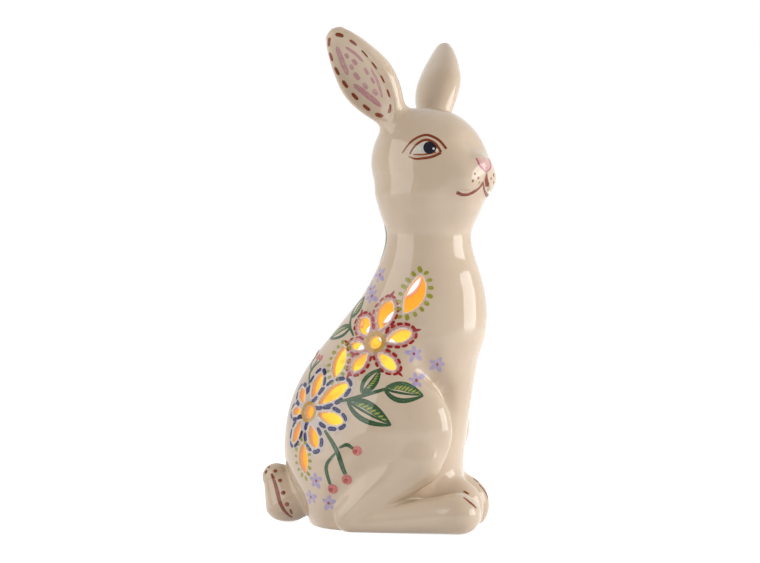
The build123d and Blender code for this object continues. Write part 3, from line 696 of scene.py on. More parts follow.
def on_flank(side, line):
    """A line beside a flank, or behind the back for 0, given by place and height, and the way out."""
    if side == 0:
        return np.column_stack([line[:, 0], np.full(len(line), behind_back), line[:, 1]]), np.array([0, 1, 0])
    return np.column_stack([np.full(len(line), beside_flank * side), line]), np.array([side, 0, 0])


def on_canvas(side, patch, line):
    """A line over a pierced patch of one flank, given in the patch's own two directions, and the way out."""
    middle, first, second, outward = flank_canvas(*patch)
    spots = middle + line[:, :1] * first + line[:, 1:] * second + over_canvas * outward
    return spots * (-side, 1, 1), outward * (-side, 1, 1)


def on_head(points):
    """Points given about the upright axis of the neck, turned with the head."""
    x, y, z = np.array(points, float).T
    turned_x = math.cos(head_turn) * x + math.sin(head_turn) * y
    turned_y = math.cos(head_turn) * y - math.sin(head_turn) * x + neck_axis
    return np.stack([turned_x, turned_y, z], 1)


def blunt(count, width):
    """Half widths of a stroke with round ends."""
    t = np.linspace(-1, 1, count)
    return width * np.sqrt(np.clip(1 - t**4, 0.004, 1))


def tapered(count, start, middle, end):
    """Half widths of a stroke that swells and thins as the brush is pressed and lifted."""
    t = np.linspace(0, 1, count)
    return np.maximum(start * (1 - t) ** 2 + 2 * middle * t * (1 - t) * 1.25 + end * t**2, 0.06)


def held_runs(strokes, held):
    """Of each stroke the longest run of points that lies on clay, with its half widths and load."""
    start = 0
    for spots, _, widths, load in strokes:
        rows = np.arange(start, start + len(spots))
        start += len(spots)
        runs = np.split(rows, np.flatnonzero(np.diff(held[rows].astype(int))) + 1)
        run = max((run for run in runs if held[run[0]]), key=len, default=rows[:0])
        if len(run) > 3:
            cut = len(run) < len(rows)
            yield run, widths[run - rows[0]] * (blunt(len(run), 1.0) if cut else 1.0), load


def paint(name, strokes, material, layer=0):
    """One piece of a colour's strokes: each a line near the clay, the way out, half widths and load."""
    centre = np.concatenate([spots for spots, *_ in strokes])
    ways = np.concatenate([np.tile(way, (len(spots), 1)) for spots, way, *_ in strokes])
    for _ in range(60):
        centre = centre - ways * np.clip(0.8 * outside(*centre.T), -2, 5)[:, None]
    centre, outward = settle(centre)
    held = (shell_field(*centre.T) < 0.5) & (ways[:, 0] * centre[:, 0] >= 0)
    strips = list(held_runs(strokes, held))
    rows = np.concatenate([run for run, _, _ in strips])
    centre, outward = centre[rows], outward[rows]
    counts = [len(run) for run, _, _ in strips]
    cuts = np.cumsum(counts)[:-1]
    half = np.concatenate([widths for _, widths, _ in strips])[:, None]
    forward = np.concatenate([np.gradient(part, axis=0) for part in np.split(centre, cuts)])
    sideways = np.cross(outward, forward)
    sideways /= np.maximum(np.linalg.norm(sideways, axis=1, keepdims=True), 1e-9)
    steps = [np.diff(part, axis=0, prepend=part[:1]) for part in np.split(centre, cuts)]
    columns, normals = [], []
    for share, rise in stroke_section:
        edge, way_out = settle(centre + sideways * half * share, 3)
        columns.append(edge + way_out * (rise + layer_rise * layer))
        normals.append(way_out if rise > -0.1 else -way_out)
    ring = len(stroke_section)
    points, normals = (np.stack(rows, 1).reshape(-1, 3) for rows in (columns, normals))
    faces, start = [], 0
    for count in counts:
        at = (start + np.arange(count)[:, None] * ring + np.arange(ring)).tolist()
        for here, there in zip(at, at[1:]):
            faces += [(here[j - 1], there[j - 1], there[j], here[j]) for j in range(ring)]
        faces += [at[0], at[-1][::-1]]
        start += count * ring
    mesh = bpy.data.meshes.new(name)
    mesh.from_pydata((points * mm).tolist(), [], faces)
    mesh.polygons.foreach_set("use_smooth", np.ones(len(mesh.polygons), bool))
    mesh.update()
    mesh.normals_split_custom_set_from_vertices(normals.tolist())
    along = np.concatenate([np.cumsum(np.linalg.norm(step, axis=1)) for step in steps])
    loads = np.concatenate([np.full(count, load) for count, (_, _, load) in zip(counts, strips)])
    carry(mesh, "across", np.tile([share for share, _ in stroke_section], len(centre)))
    carry(mesh, "along", np.repeat(along, ring))
    carry(mesh, "load", np.repeat(loads, ring))
    mesh.materials.append(material)
    piece = bpy.data.objects.new(name, mesh)
    bpy.context.scene.collection.objects.link(piece)
    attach(piece, "rabbit")


streaks, nodes, links, given, made = open_group(
    "brush_streaks", {"Full": "Color", "Thin": "Color", "Pooling": "Float"}, {"Color": "Color"}
)
stretch = nodes.new("ShaderNodeCombineXYZ")
links.new(read("across"), stretch.inputs["X"])
links.new(reckoned("MULTIPLY", read("along"), 0.16), stretch.inputs["Y"])
links.new(read("load"), stretch.inputs["Z"])
hairs = clouded(2.6, 3.0, stretch.outputs["Vector"])
laid = reckoned("ADD", ramped(hairs, 0.30, 0.70, -0.30, 0.30), read("load"))
pooled = reckoned("MULTIPLY", reckoned("ABSOLUTE", read("across")), given.outputs["Pooling"])
thickness = ramped(reckoned("ADD", laid, pooled), 0.0, 1.0)
links.new(toned(given.outputs["Thin"], given.outputs["Full"], thickness), made.inputs["Color"])


def underglaze(name, full, thin, pooling=0.25):
    """A colour under the clear glaze: full where the paint lies thick, thin where the brush ran dry."""
    colour, nodes, links, shader = open_material(name)
    stroke = nodes.new("ShaderNodeGroup")
    stroke.node_tree = streaks
    fill_in(stroke, {"Full": (*full, 1), "Thin": (*thin, 1), "Pooling": pooling})
    links.new(stroke.outputs["Color"], shader.inputs["Base Color"])
    gloss = nodes.new("ShaderNodeGroup")
    gloss.node_tree = glaze_skin
    links.new(gloss.outputs["Roughness"], shader.inputs["Roughness"])
    return colour


def outline_of(shape, middle, offset):
    """Line round a pierced shape at a distance from its edge, from its point nearest the flower's eye."""
    turns = np.linspace(0, 2 * math.pi, 240, endpoint=False)
    low, high = np.zeros(len(turns)), np.full(len(turns), 45.0)
    for _ in range(26):
        reach = (low + high) / 2
        line = np.stack([middle[0] + reach * np.cos(turns), middle[1] + reach * np.sin(turns)], 1)
        beyond = shape(*line.T) > offset
        low, high = np.where(beyond, low, reach), np.where(beyond, reach, high)
    return np.roll(line, -int(np.argmin(np.hypot(*line.T))), 0)


def spaced(line, pitch, gap):
    """A closed line cut into dashes of nearly one length."""
    closed = np.concatenate([line, line[:1]])
    run = np.concatenate([[0], np.cumsum(np.linalg.norm(np.diff(closed, axis=0), axis=1))])
    count = max(3, round(run[-1] / pitch))
    for k in range(count):
        ends = np.array([k, k + 1]) * run[-1] / count + np.array([gap, -gap]) / 2
        a, b = ends + hand.uniform(-0.25, 0.25, 2)
        places = np.linspace(a, b, 8) % run[-1]
        yield np.stack([np.interp(places, run, closed[:, axis]) for axis in (0, 1)], 1)


# Round the pierced flowers: short red dashes on the upper one and longer blue ones on the lower one, a flick
# at each red petal's tip, and a loaded ochre ring about each eye.
red_dashes, navy_dashes, ochre_rings = [], [], []
eye_margin, petal_margin = 9.2, 1.9  # how near a dash may come to the eye's middle or to another petal
for side, places in flank_places.items():
    for patch, petals, store, offset, pitch, gap, width, load in (
        (places[0], upper_petals, red_dashes, 3.4, 5.0, 0.9, 1.15, 0.80),
        (places[1], lower_petals, navy_dashes, 2.9, 7.4, 0.9, 1.6, 0.74),
    ):
        for number, petal in enumerate(petals):
            root, tip = petal_ends(petal)
            belly = root + belly_share * (tip - root)
            small = min(1.0, petal[4] / 7.0)
            line = outline_of(lambda u, v: petal_shape(u, v, petal), belly, offset * (0.75 + 0.25 * small))
            for dash in spaced(line, pitch * (0.55 + 0.45 * small), gap):
                middle = dash[4]
                others = [petal_shape(*middle, other) for k, other in enumerate(petals) if k != number]
                if np.hypot(*middle) < eye_margin or min(others) < petal_margin:
                    continue
                thick = blunt(8, width * (0.4 + 0.6 * small) * hand.uniform(0.85, 1.12))
                store.append((*on_canvas(side, patch, dash), thick, load * hand.uniform(0.7, 1.2)))
            if store is red_dashes:
                rib = (tip - root) / np.linalg.norm(tip - root)
                bend = np.array([-rib[1], rib[0]]) * hand.uniform(-1.2, 1.2)
                flick = flowing([tip + rib * 2.0 - bend, tip + rib * 4.4, tip + rib * 7.2 + bend], 9)
                store.append((*on_canvas(side, patch, flick), tapered(9, 0.8, 1.5, 0.2), 0.8))
        turns = np.linspace(0, 2 * math.pi, 44)
        for reach, thick in ((5.3, 0.75), (6.5, 0.8)):
            ring = reach * np.stack([np.cos(turns + reach), np.sin(turns + reach)], 1)
            ochre_rings.append((*on_canvas(side, patch, ring), np.full(44, thick), hand.uniform(0.45, 0.75)))
paint("flower_dashes_red", red_dashes, underglaze("madder_red", (0.32, 0.006, 0.007), (0.47, 0.05, 0.045)))
cobalt = underglaze("cobalt_blue", (0.006, 0.004, 0.080), (0.20, 0.205, 0.45), 0.55)
paint("flower_dashes_blue", navy_dashes, cobalt)
paint("flower_eye_rings", ochre_rings, underglaze("ochre", (0.54, 0.30, 0.035), (0.60, 0.36, 0.16), 0.2))

# Round the pierced leaves: short dabs of olive underglaze, laid on with the side of a round brush. They point
# away from the opening like the rays of a sun.
olive_dabs = []
for side, places in flank_places.items():
    for patch, leaf, reach, pitch in zip(places[2:], leaf_cuts, (3.0, 2.6, 2.4), (5.2, 4.6, 4.2)):
        line = outline_of(lambda u, v: leaf_shape(u, v, leaf), np.zeros(2), reach)
        for dash in spaced(line, pitch, 0):
            middle = dash[4]
            ahead = (dash[5] - dash[3]) / np.linalg.norm(dash[5] - dash[3])
            outward = np.array([ahead[1], -ahead[0]])
            size = hand.uniform(0.85, 1.15) * reach / 2.9
            dab = [middle - outward * 1.5 * size, middle + ahead * 0.2, middle + outward * 2.5 * size]
            dab = flowing(dab, 7)
            olive_dabs.append((*on_canvas(side, patch, dab), blunt(7, 1.5 * size), hand.uniform(0.5, 0.9)))
paint("leaf_dabs", olive_dabs, underglaze("olive", (0.29, 0.28, 0.016), (0.42, 0.40, 0.09), 0.2))

# Sprigs: green stems with leaves drawn in two loaded strokes about a midrib, one half of each leaf washed in
# and ticked with lighter veins, and coral berries and buds at the ends of the stems.
green_strokes, green_washes, vein_ticks, coral_dabs, coral_hearts = [], [], [], [], []


def stem(side, points, width):
    """A stem along a flank, drawn in one pull of the brush."""
    line = flowing(points, 6 + 3 * len(points))
    thick = tapered(len(line), 0.6 * width, 1.2 * width, 0.9 * width)
    green_strokes.append((*on_flank(side, line), thick, hand.uniform(0.6, 0.85)))


def sprig_leaf(side, base, tip, width, washed=1):
    """Both edges and the midrib of a leaf, and the wash and ticks of its upper or lower half."""
    base, tip = np.array(base), np.array(tip)
    rib = tip - base
    off = np.array([-rib[1], rib[0]]) / np.linalg.norm(rib) * width / 2
    places = np.linspace(0, 1, 17)[:, None]
    bulge = np.sin(math.pi * places**0.85) ** 0.9
    rise = math.sqrt(width / 11)
    for way in (-1, 1):
        edge = base + rib * places + off * way * bulge
        thick = tapered(17, 1.0, 2.1 * rise, 0.6)
        green_strokes.append((*on_flank(side, edge), thick, hand.uniform(0.55, 0.85)))
    midrib = base + rib * places * 0.94 + off * 0.12 * bulge
    green_strokes.append((*on_flank(side, midrib), tapered(17, 0.7, 0.9 * rise, 0.3), 0.8))
    wash = base + rib * (0.08 + 0.84 * places) + off * washed * 0.5 * bulge
    thick = 0.22 * width * np.sin(math.pi * (0.04 + 0.92 * places[:, 0]))
    green_washes.append((*on_flank(side, wash), thick, 0.5))
    for place in np.linspace(0.24, 0.80, 7):
        spread = math.sin(math.pi * place**0.85)
        root = base + rib * place + off * washed * 0.24 * spread
        end = base + rib * (place + 0.09) + off * washed * 0.82 * spread
        tick = tapered(6, 0.3, 0.65 * rise, 0.25)
        vein_ticks.append((*on_flank(side, flowing([root, end], 6)), tick, hand.uniform(0.3, 0.9)))


def rounded(size, count=11):
    """Rise and half width along a round touch of the brush."""
    t = np.linspace(-1, 1, count)
    return size * t, size * np.sqrt(np.clip(1 - t * t, 0.004, 1))


def flank_dab(side, place, size, load):
    """A round touch of the brush on a flank."""
    rise, widths = rounded(size)
    line = np.column_stack([np.full(len(rise), place[0]), place[1] + rise])
    return *on_flank(side, line), widths, load


def berry(side, place, size):
    """A berry: a coral touch with a darker heart a little off its middle."""
    coral_dabs.append(flank_dab(side, place, size, hand.uniform(0.4, 0.7)))
    place = np.array(place) + (hand.uniform(0.4, 1.2), -0.5)
    coral_hearts.append(flank_dab(side, place, 0.45 * size, 0.5))


stem(-1, [(11.0, 84.6), (-5.1, 88.8), (-21.1, 93.6)], 1.15)
sprig_leaf(-1, (-4.9, 91.0), (-16.0, 106.0), 7.5)
sprig_leaf(-1, (-20.5, 93.4), (-45.0, 89.3), 10.5, -1)
sprig_leaf(-1, (4.4, 85.4), (-25.5, 70.6), 11.0, -1)
stem(-1, [(20.0, 66.0), (11.8, 54.3), (5.6, 38.0)], 1.45)
stem(-1, [(12.1, 51.7), (18.3, 43.4), (16.2, 31.0)], 1.15)
stem(-1, [(9.8, 55.0), (4.2, 57.2), (-0.5, 54.6)], 1.05)
for place in ((-2.7, 53.5), (4.9, 34.3), (14.7, 27.9)):
    berry(-1, place, 3.3)
stem(-1, [(4.0, 127.0), (8.2, 134.0), (8.6, 140.5)], 0.9)
sprig_leaf(-1, (8.4, 139.0), (0.5, 153.0), 5.0)
sprig_leaf(-1, (7.6, 133.6), (24.0, 124.8), 6.0)
stem(-1, [(34.7, 95.0), (35.4, 103.0), (31.2, 110.5)], 0.9)
stem(-1, [(35.2, 102.0), (33.0, 106.0), (28.4, 110.4)], 0.8)
stem(-1, [(35.4, 104.0), (36.4, 108.0), (34.0, 113.0)], 0.7)
for place in ((28.0, 112.2), (30.9, 112.6), (33.6, 115.2)):
    berry(-1, place, 1.7)

stem(1, [(-17.0, 113.0), (-27.0, 112.0), (-37.0, 116.5)], 1.1)
sprig_leaf(1, (-26.0, 112.0), (-37.0, 101.5), 7.0)
sprig_leaf(1, (-36.0, 116.0), (-53.0, 127.0), 8.5, -1)
stem(1, [(-2.0, 40.0), (-12.0, 34.0), (-22.0, 27.0)], 1.3)
stem(1, [(-9.0, 36.0), (-20.0, 38.0), (-29.0, 36.0)], 1.1)
stem(1, [(36.0, 32.0), (28.0, 24.0), (18.0, 20.0)], 1.2)
for place in ((-24.0, 25.6), (-31.6, 35.4), (15.4, 18.6)):
    berry(1, place, 3.2)
stem(0, [(11.0, 158.0), (7.0, 165.0), (1.5, 174.0)], 1.1)
sprig_leaf(0, (1.5, 173.0), (-9.5, 200.0), 10.0)
sprig_leaf(0, (7.4, 164.0), (17.0, 178.0), 7.5, -1)
stem(1, [(40.0, 78.0), (42.0, 86.0), (39.0, 94.0)], 1.0)
sprig_leaf(1, (41.4, 86.0), (33.0, 94.0), 5.5)
sprig_leaf(1, (39.4, 93.0), (33.0, 105.0), 6.0, -1)
leaf_green = underglaze("leaf_green", (0.034, 0.092, 0.036), (0.17, 0.25, 0.135), 0.35)
paint("sprig_strokes", green_strokes, leaf_green, 1)
paint("sprig_washes", green_washes, underglaze("leaf_wash", (0.055, 0.125, 0.05), (0.17, 0.25, 0.13), 0.2))
paint("vein_ticks", vein_ticks, underglaze("vein_yellow", (0.42, 0.43, 0.05), (0.50, 0.50, 0.14), 0.1), 1)
paint("berries", coral_dabs, underglaze("coral", (0.62, 0.135, 0.115), (0.66, 0.28, 0.24), 0.25), 2)
paint("berry_hearts", coral_hearts, underglaze("berry_red", (0.30, 0.018, 0.014), (0.50, 0.10, 0.08), 0.1), 3)

# Scattered blossoms: five watery touches of lilac, each pressed down and pulled outward, about a small red
# heart that is dotted on once they are dry.
lilac_dabs, red_hearts = [], []
blossom_places = {
    -1: [
        *((-10.7, 167.3), (-3.8, 158.0), (-6.1, 153.4), (-37.2, 115.9), (-51.3, 108.8)),
        *((-39.6, 98.8), (26.3, 32.8), (31.9, 21.1), (18.3, 18.2)),
    ],
    1: [
        *((-36.0, 146.0), (-46.0, 138.0), (-28.0, 182.0), (-34.0, 86.0), (-48.0, 76.0)),
        *((-40.0, 63.0), (50.0, 62.0), (46.0, 24.0), (34.0, 15.0), (6.0, 27.0)),
    ],
}
for side, places in blossom_places.items():
    for place in places:
        spin = hand.uniform(0, 2)
        for k in range(5):
            turn = spin + k * 2 * math.pi / 5 + hand.uniform(-0.2, 0.2)
            way = np.array([math.cos(turn), math.sin(turn)])
            touch = flowing([place + way * 0.6, place + way * 2.8, place + way * hand.uniform(4.6, 6.0)], 8)
            lilac_dabs.append((*on_flank(side, touch), tapered(8, 0.7, 2.4, 0.8), hand.uniform(0.25, 0.6)))
        red_hearts.append(flank_dab(side, place, 1.05, 0.6))
paint("blossoms", lilac_dabs, underglaze("lilac", (0.36, 0.29, 0.52), (0.51, 0.42, 0.52), 0.2))
paint("blossom_hearts", red_hearts, underglaze("heart_red", (0.24, 0.02, 0.03), (0.46, 0.12, 0.11), 0.1), 1)

# The face: rust lines that follow the furrows of brow, lids, lips and nose, pale eyes with dark irises, a
# glint in each, and a pink nose. It is drawn about the head's own middle, alike on both sides.
rust_lines, eye_whites, irises, iris_rims, glints, nose_touches, nose_edges = [], [], [], [], [], [], []


def clay_dab(spot, size, load):
    """A round touch of the brush at a point that is already at the clay."""
    rise, widths = rounded(size, 21)
    return spot + rise[:, None] * (0, 0, 1.0), np.zeros(3), widths, load


for side in (-1, 1):

    def face_line(points, widths, load):
        """A stroke on one side of the face."""
        points = flowing([(-side * x, y, z) for x, y, z in points], len(widths))
        return on_head(points), np.zeros(3), widths, load

    def face_dab(x, y, z, size, load):
        """A round touch of the brush on one side of the face."""
        return clay_dab(on_head([(-side * x, y, z)])[0], size, load)

    brow = [(-35.3, -6.1, 246.9), (-31.8, -12.6, 255.3), (-27.1, -19.4, 258.6), (-23.6, -26.3, 255.5)]
    brow += [(-21.5, -31.9, 249.3)]
    upper_lid = [(-34.2, -11.6, 246.2), (-32.1, -15.3, 252.0), (-28.4, -20.4, 255.3), (-26.0, -25.8, 252.8)]
    upper_lid += [(-24.5, -29.8, 247.2)]
    lower_lid = [(-34.5, -10.8, 244.6), (-33.3, -14.7, 243.0), (-31.2, -19.4, 243.0), (-27.8, -25.6, 244.2)]
    lower_lid += [(-24.5, -29.8, 246.6)]
    inner_lid = [(-33.3, -14.0, 245.7), (-30.4, -20.8, 245.6), (-26.4, -27.0, 247.0)]
    rust_lines.append(face_line(brow, tapered(26, 0.4, 1.0, 0.8), 0.75))
    rust_lines.append(face_line(upper_lid, tapered(24, 0.6, 1.0, 0.85), 0.75))
    rust_lines.append(face_line(lower_lid, tapered(22, 0.3, 0.85, 0.85), 0.7))
    rust_lines.append(face_line(inner_lid, tapered(14, 0.3, 0.5, 0.5), 0.45))
    white = [(-33.6, -12.6, 247.0), (-31.0, -17.4, 249.6), (-28.6, -22.0, 250.3), (-25.2, -28.6, 248.4)]
    eye_whites.append(face_line(white, 4.5 * np.sin(math.pi * np.linspace(0.03, 0.97, 17)) ** 0.8, 0.6))
    irises.append(face_dab(-28.2, -23.5, 250.1, 4.3, 0.7))
    rim = [(-30.4, -19.0, 253.2), (-31.0, -18.8, 250.0), (-30.9, -19.6, 247.0)]
    iris_rims.append(face_line(rim, tapered(11, 0.2, 0.45, 0.2), 0.5))
    glints.append(face_dab(-27.1, -25.7, 249.3, 0.8, 0.6))
    lips = [(0.3, -46.0, 228.0), (-2.5, -44.0, 224.4), (-7.9, -41.2, 220.9), (-12.8, -38.5, 220.2)]
    lips += [(-16.8, -36.3, 221.2)]
    rust_lines.append(face_line(lips, tapered(22, 0.8, 1.0, 1.15), 0.7))
    for spot in ((-10.2, -46.4, 233.0), (-11.4, -45.6, 228.3), (-6.9, -46.5, 230.6), (-5.0, -45.7, 227.6)):
        rust_lines.append(face_dab(*spot, hand.uniform(0.7, 1.0), 0.7))
    for start, middle, end, wide in (
        ((-4.6, -45.8, 243.4), (-4.0, -47.2, 239.4), (-1.0, -47.2, 235.6), 1.25),
        ((-1.5, -46.2, 243.6), (-1.3, -47.8, 239.6), (-0.4, -47.4, 236.2), 1.2),
    ):
        widths = tapered(10, 1.0, wide, 0.6)
        nose_touches.append(face_line([start, middle, end], widths, hand.uniform(0.3, 0.6)))
    edge = [(-6.6, -44.6, 243.0), (-5.6, -46.4, 238.4), (-0.6, -47.2, 234.8)]
    nose_edges.append(face_line(edge, tapered(13, 0.8, 0.75, 0.5), 0.6))
cleft = on_head(flowing([(0.6, -47.4, 234.2), (2.2, -46.8, 229.4), (5.2, -45.5, 224.6)], 15))
rust_lines.append((cleft, np.zeros(3), tapered(15, 0.6, 1.7, 1.5), 0.6))

# Tail and toes: a long rust line down each side of the tail with dots beside it, and short lines that part
# the toes of the hind feet and paws, all in the same underglaze as the face.
for side in (-1, 1):

    def clay_line(points, widths, load):
        """A stroke on one side of the body, along points that are already at the clay."""
        return flowing(points, len(widths)) * (-side, 1, 1), np.zeros(3), widths, load

    tail_line = [(-8.1, 66.6, 32.9), (-11.7, 61.9, 23.2), (-15.1, 58.7, 14.9), (-13.4, 55.4, 8.3)]
    tail_line += [(-9.8, 51.8, 4.3)]
    rust_lines.append(clay_line(tail_line, tapered(24, 0.8, 1.7, 0.6), 0.6))
    rust_lines.append(clay_line([(-14.6, 52.0, 10.0), (-13.2, 50.6, 5.5)], tapered(8, 0.5, 1.0, 0.4), 0.6))
    for spot, size in (
        ((-4.7, 69.3, 36.9), 1.2),
        ((-7.3, 64.1, 34.7), 1.4),
        ((-6.1, 70.9, 33.8), 1.4),
        ((-9.5, 60.2, 28.5), 1.4),
        ((-13.3, 56.9, 20.6), 1.6),
        ((-14.7, 54.0, 13.5), 1.5),
    ):
        rust_lines.append(clay_dab(np.array(spot) * (-side, 1, 1), size, hand.uniform(0.5, 0.8)))
    drawn_back = toe_ends[side] - toe_ends[-1]
    toe = [(-47.4, -71.5, 24.4), (-48.1, -75.8, 21.4), (-46.2, -79.7, 17.5)]
    toe = [(x, y + drawn_back, z) for x, y, z in toe]
    rust_lines.append(clay_line(toe, tapered(14, 0.5, 1.3, 0.5), 0.65))
    paw = [(-21.8, -67.2, 25.7), (-21.5, -69.0, 24.7), (-21.2, -70.7, 23.6)]
    rust_lines.append(clay_line(paw, tapered(10, 0.4, 0.8, 0.4), 0.65))
for toe in (
    [(10.6, -68.4, 31.0), (10.2, -70.4, 29.4), (9.8, -72.0, 27.9)],
    [(8.6, -72.6, 27.0), (9.5, -75.9, 23.3), (10.8, -78.4, 17.5)],
):
    rust_lines.append((flowing(toe, 14), np.zeros(3), tapered(14, 0.5, 0.9, 0.4), 0.65))
paint("eye_whites", eye_whites, underglaze("eye_white", (0.70, 0.66, 0.56), (0.62, 0.56, 0.45), 0.1))
paint("irises", irises, underglaze("iris_blue_black", (0.006, 0.006, 0.013), (0.02, 0.022, 0.05), 0.2), 2)
paint("iris_rims", iris_rims, underglaze("iris_pale_blue", (0.45, 0.52, 0.66), (0.58, 0.60, 0.62), 0.1), 1)
paint("eye_glints", glints, underglaze("glint_white", (0.80, 0.72, 0.74), (0.62, 0.52, 0.60), 0.1), 3)
paint("nose_touches", nose_touches, underglaze("nose_pink", (0.62, 0.30, 0.32), (0.68, 0.44, 0.42), 0.2))
paint("nose_edges", nose_edges, underglaze("nose_rose", (0.42, 0.10, 0.12), (0.60, 0.28, 0.28), 0.2), 1)

# The ears: a ring of rust dashes round the rim of each scoop, and soft strokes and dots of thin pink
# underglaze in it. They are the last strokes in rust, so all of that colour is laid here.
pink_strokes = []
scoop_turns = np.linspace(0, 2 * math.pi, 120, endpoint=False)
scoop_rim = np.stack([48.2 + 31.6 * np.cos(scoop_turns), 0.4 + 12.4 * np.sin(scoop_turns)], 1)
for side in (-1, 1):
    root, _, along, across, facing = ear_frame(side)

    def in_ear(points, widths, load):
        """A stroke in the scoop, given along the ear from its root and across it."""
        a, w = np.asarray(points, float).T[:, :, None]
        spots = root + a * along - w * side * across + over_canvas * facing
        return on_head(spots), on_head([facing])[0] - on_head([(0, 0, 0)])[0], widths, load

    for dash in spaced(scoop_rim, 10.4, 4.0):
        rust_lines.append(in_ear(dash, blunt(8, hand.uniform(1.0, 1.4)), hand.uniform(0.55, 0.85)))
    for start, middle, end, wide in (
        ((72.5, 2.4), (61.3, 6.3), (51.8, 8.5), 2.1),
        ((69.0, -1.9), (61.4, -4.5), (53.6, -5.8), 1.5),
        ((45.4, 9.1), (34.6, 5.7), (22.2, 1.1), 2.2),
        ((48.1, -7.8), (37.7, -6.1), (26.6, -2.4), 1.3),
        ((65.2, 1.0), (63.2, 1.4), (61.2, 1.8), 1.6),
        ((59.2, -0.3), (56.7, -0.4), (54.3, -0.3), 1.8),
        ((57.1, 3.1), (55.1, 3.5), (53.1, 3.8), 1.5),
        ((50.4, -3.7), (47.5, -3.4), (44.6, -2.9), 1.6),
        ((42.7, -3.6), (40.1, -3.4), (37.6, -3.2), 1.3),
        ((51.2, 4.3), (48.1, 4.3), (45.2, 4.1), 1.9),
        ((42.1, 3.5), (39.6, 3.3), (37.2, 3.0), 1.8),
        ((35.1, 0.3), (32.6, -0.2), (30.2, -0.6), 2.0),
    ):
        stroke = flowing([start, middle, end], 13)
        pink_strokes.append(in_ear(stroke, blunt(13, wide), hand.uniform(0.35, 0.7)))
paint("ear_strokes", pink_strokes, underglaze("ear_pink", (0.46, 0.20, 0.21), (0.58, 0.36, 0.33), 0.15))
paint("rust_lines", rust_lines, underglaze("rust", (0.20, 0.032, 0.008), (0.42, 0.11, 0.045), 0.25), 1)


# The light unit's shell: a round housing, its screwed cover and the hinged battery door, moulded in ivory
# plastic in a spark-eroded mould, which leaves a fine even grain.
surface_sockets = (
    {"Tone": "Color", "Shade": "Color"},
    {"Color": "Color", "Roughness": "Float", "Grain": "Float"},
)
moulded_grain, nodes, links, given, made = open_group("moulded_grain", *surface_sockets)
place = nodes.new("ShaderNodeTexCoord")
flow = ramped(clouded(110.0, 4.0), 0.38, 0.72)
links.new(toned(given.outputs["Tone"], given.outputs["Shade"], flow), made.inputs["Color"])
grain = clouded(2600.0, 2.0)
links.new(ramped(grain, 0.3, 0.7, 0.40, 0.58), made.inputs["Roughness"])
links.new(grain, made.inputs["Grain"])


def finished(name, surface, tone, shade, metallic, relief):
    """A material from a surface group with its own two tones and depth of relief in metres."""
    finish, nodes, links, shader = open_material(name)
    shader.inputs["Metallic"].default_value = metallic
    given_surface = nodes.new("ShaderNodeGroup")
    given_surface.node_tree = surface
    fill_in(given_surface, {"Tone": (*tone, 1), "Shade": (*shade, 1)})
    links.new(given_surface.outputs["Color"], shader.inputs["Base Color"])
    links.new(given_surface.outputs["Roughness"], shader.inputs["Roughness"])
    bump = nodes.new("ShaderNodeBump")
    fill_in(bump, {"Strength": 0.3, "Distance": relief})
    links.new(given_surface.outputs["Grain"], bump.inputs["Height"])
    links.new(bump.outputs["Normal"], shader.inputs["Normal"])
    return finish


def dress(material, *labels):
    """Give CAD nodes their finish."""
    for label in labels:
        bpy.data.objects[label].data.materials[0] = material


ivory = finished("ivory_plastic", moulded_grain, (0.70, 0.66, 0.57), (0.64, 0.60, 0.51), 0.0, 0.0003)
dress(ivory, "light_housing", "top_cover", "battery_door")

# The gasket: a moulded ring of grey silicone, stretched into the groove round the housing. It grips the
# opening in the rabbit's base and so holds the light unit up.
silicone = finished("grey_silicone", moulded_grain, (0.33, 0.33, 0.32), (0.27, 0.27, 0.27), 0.0, 0.0001)
dress(silicone, "gasket_ring")

# The metal: contact strips of spring steel, stamped, bent and nickel-plated, which are pressed into the ends
# of the battery bay, and the steel screws that hold the cover.
drawn_metal, nodes, links, given, made = open_group("drawn_metal", *surface_sockets)
place = nodes.new("ShaderNodeTexCoord")
lines = nodes.new("ShaderNodeMapping")
lines.inputs["Scale"].default_value = (1.0, 1.0, 0.06)
links.new(place.outputs["Object"], lines.inputs["Vector"])
hairlines = clouded(6000.0, 2.0, lines.outputs["Vector"])
stain = ramped(clouded(260.0, 3.0), 0.45, 0.75)
links.new(toned(given.outputs["Tone"], given.outputs["Shade"], stain), made.inputs["Color"])
links.new(ramped(hairlines, 0.3, 0.7, 0.20, 0.42), made.inputs["Roughness"])
links.new(hairlines, made.inputs["Grain"])
nickel = finished("nickel_plate", drawn_metal, (0.66, 0.64, 0.59), (0.50, 0.47, 0.42), 1.0, 0.0001)
dress(nickel, "contact_positive", "contact_negative", "contact_bridge_left", "contact_bridge_right")
steel = finished("screw_steel", drawn_metal, (0.55, 0.55, 0.55), (0.38, 0.37, 0.36), 1.0, 0.0001)
dress(steel, "cover_screws")

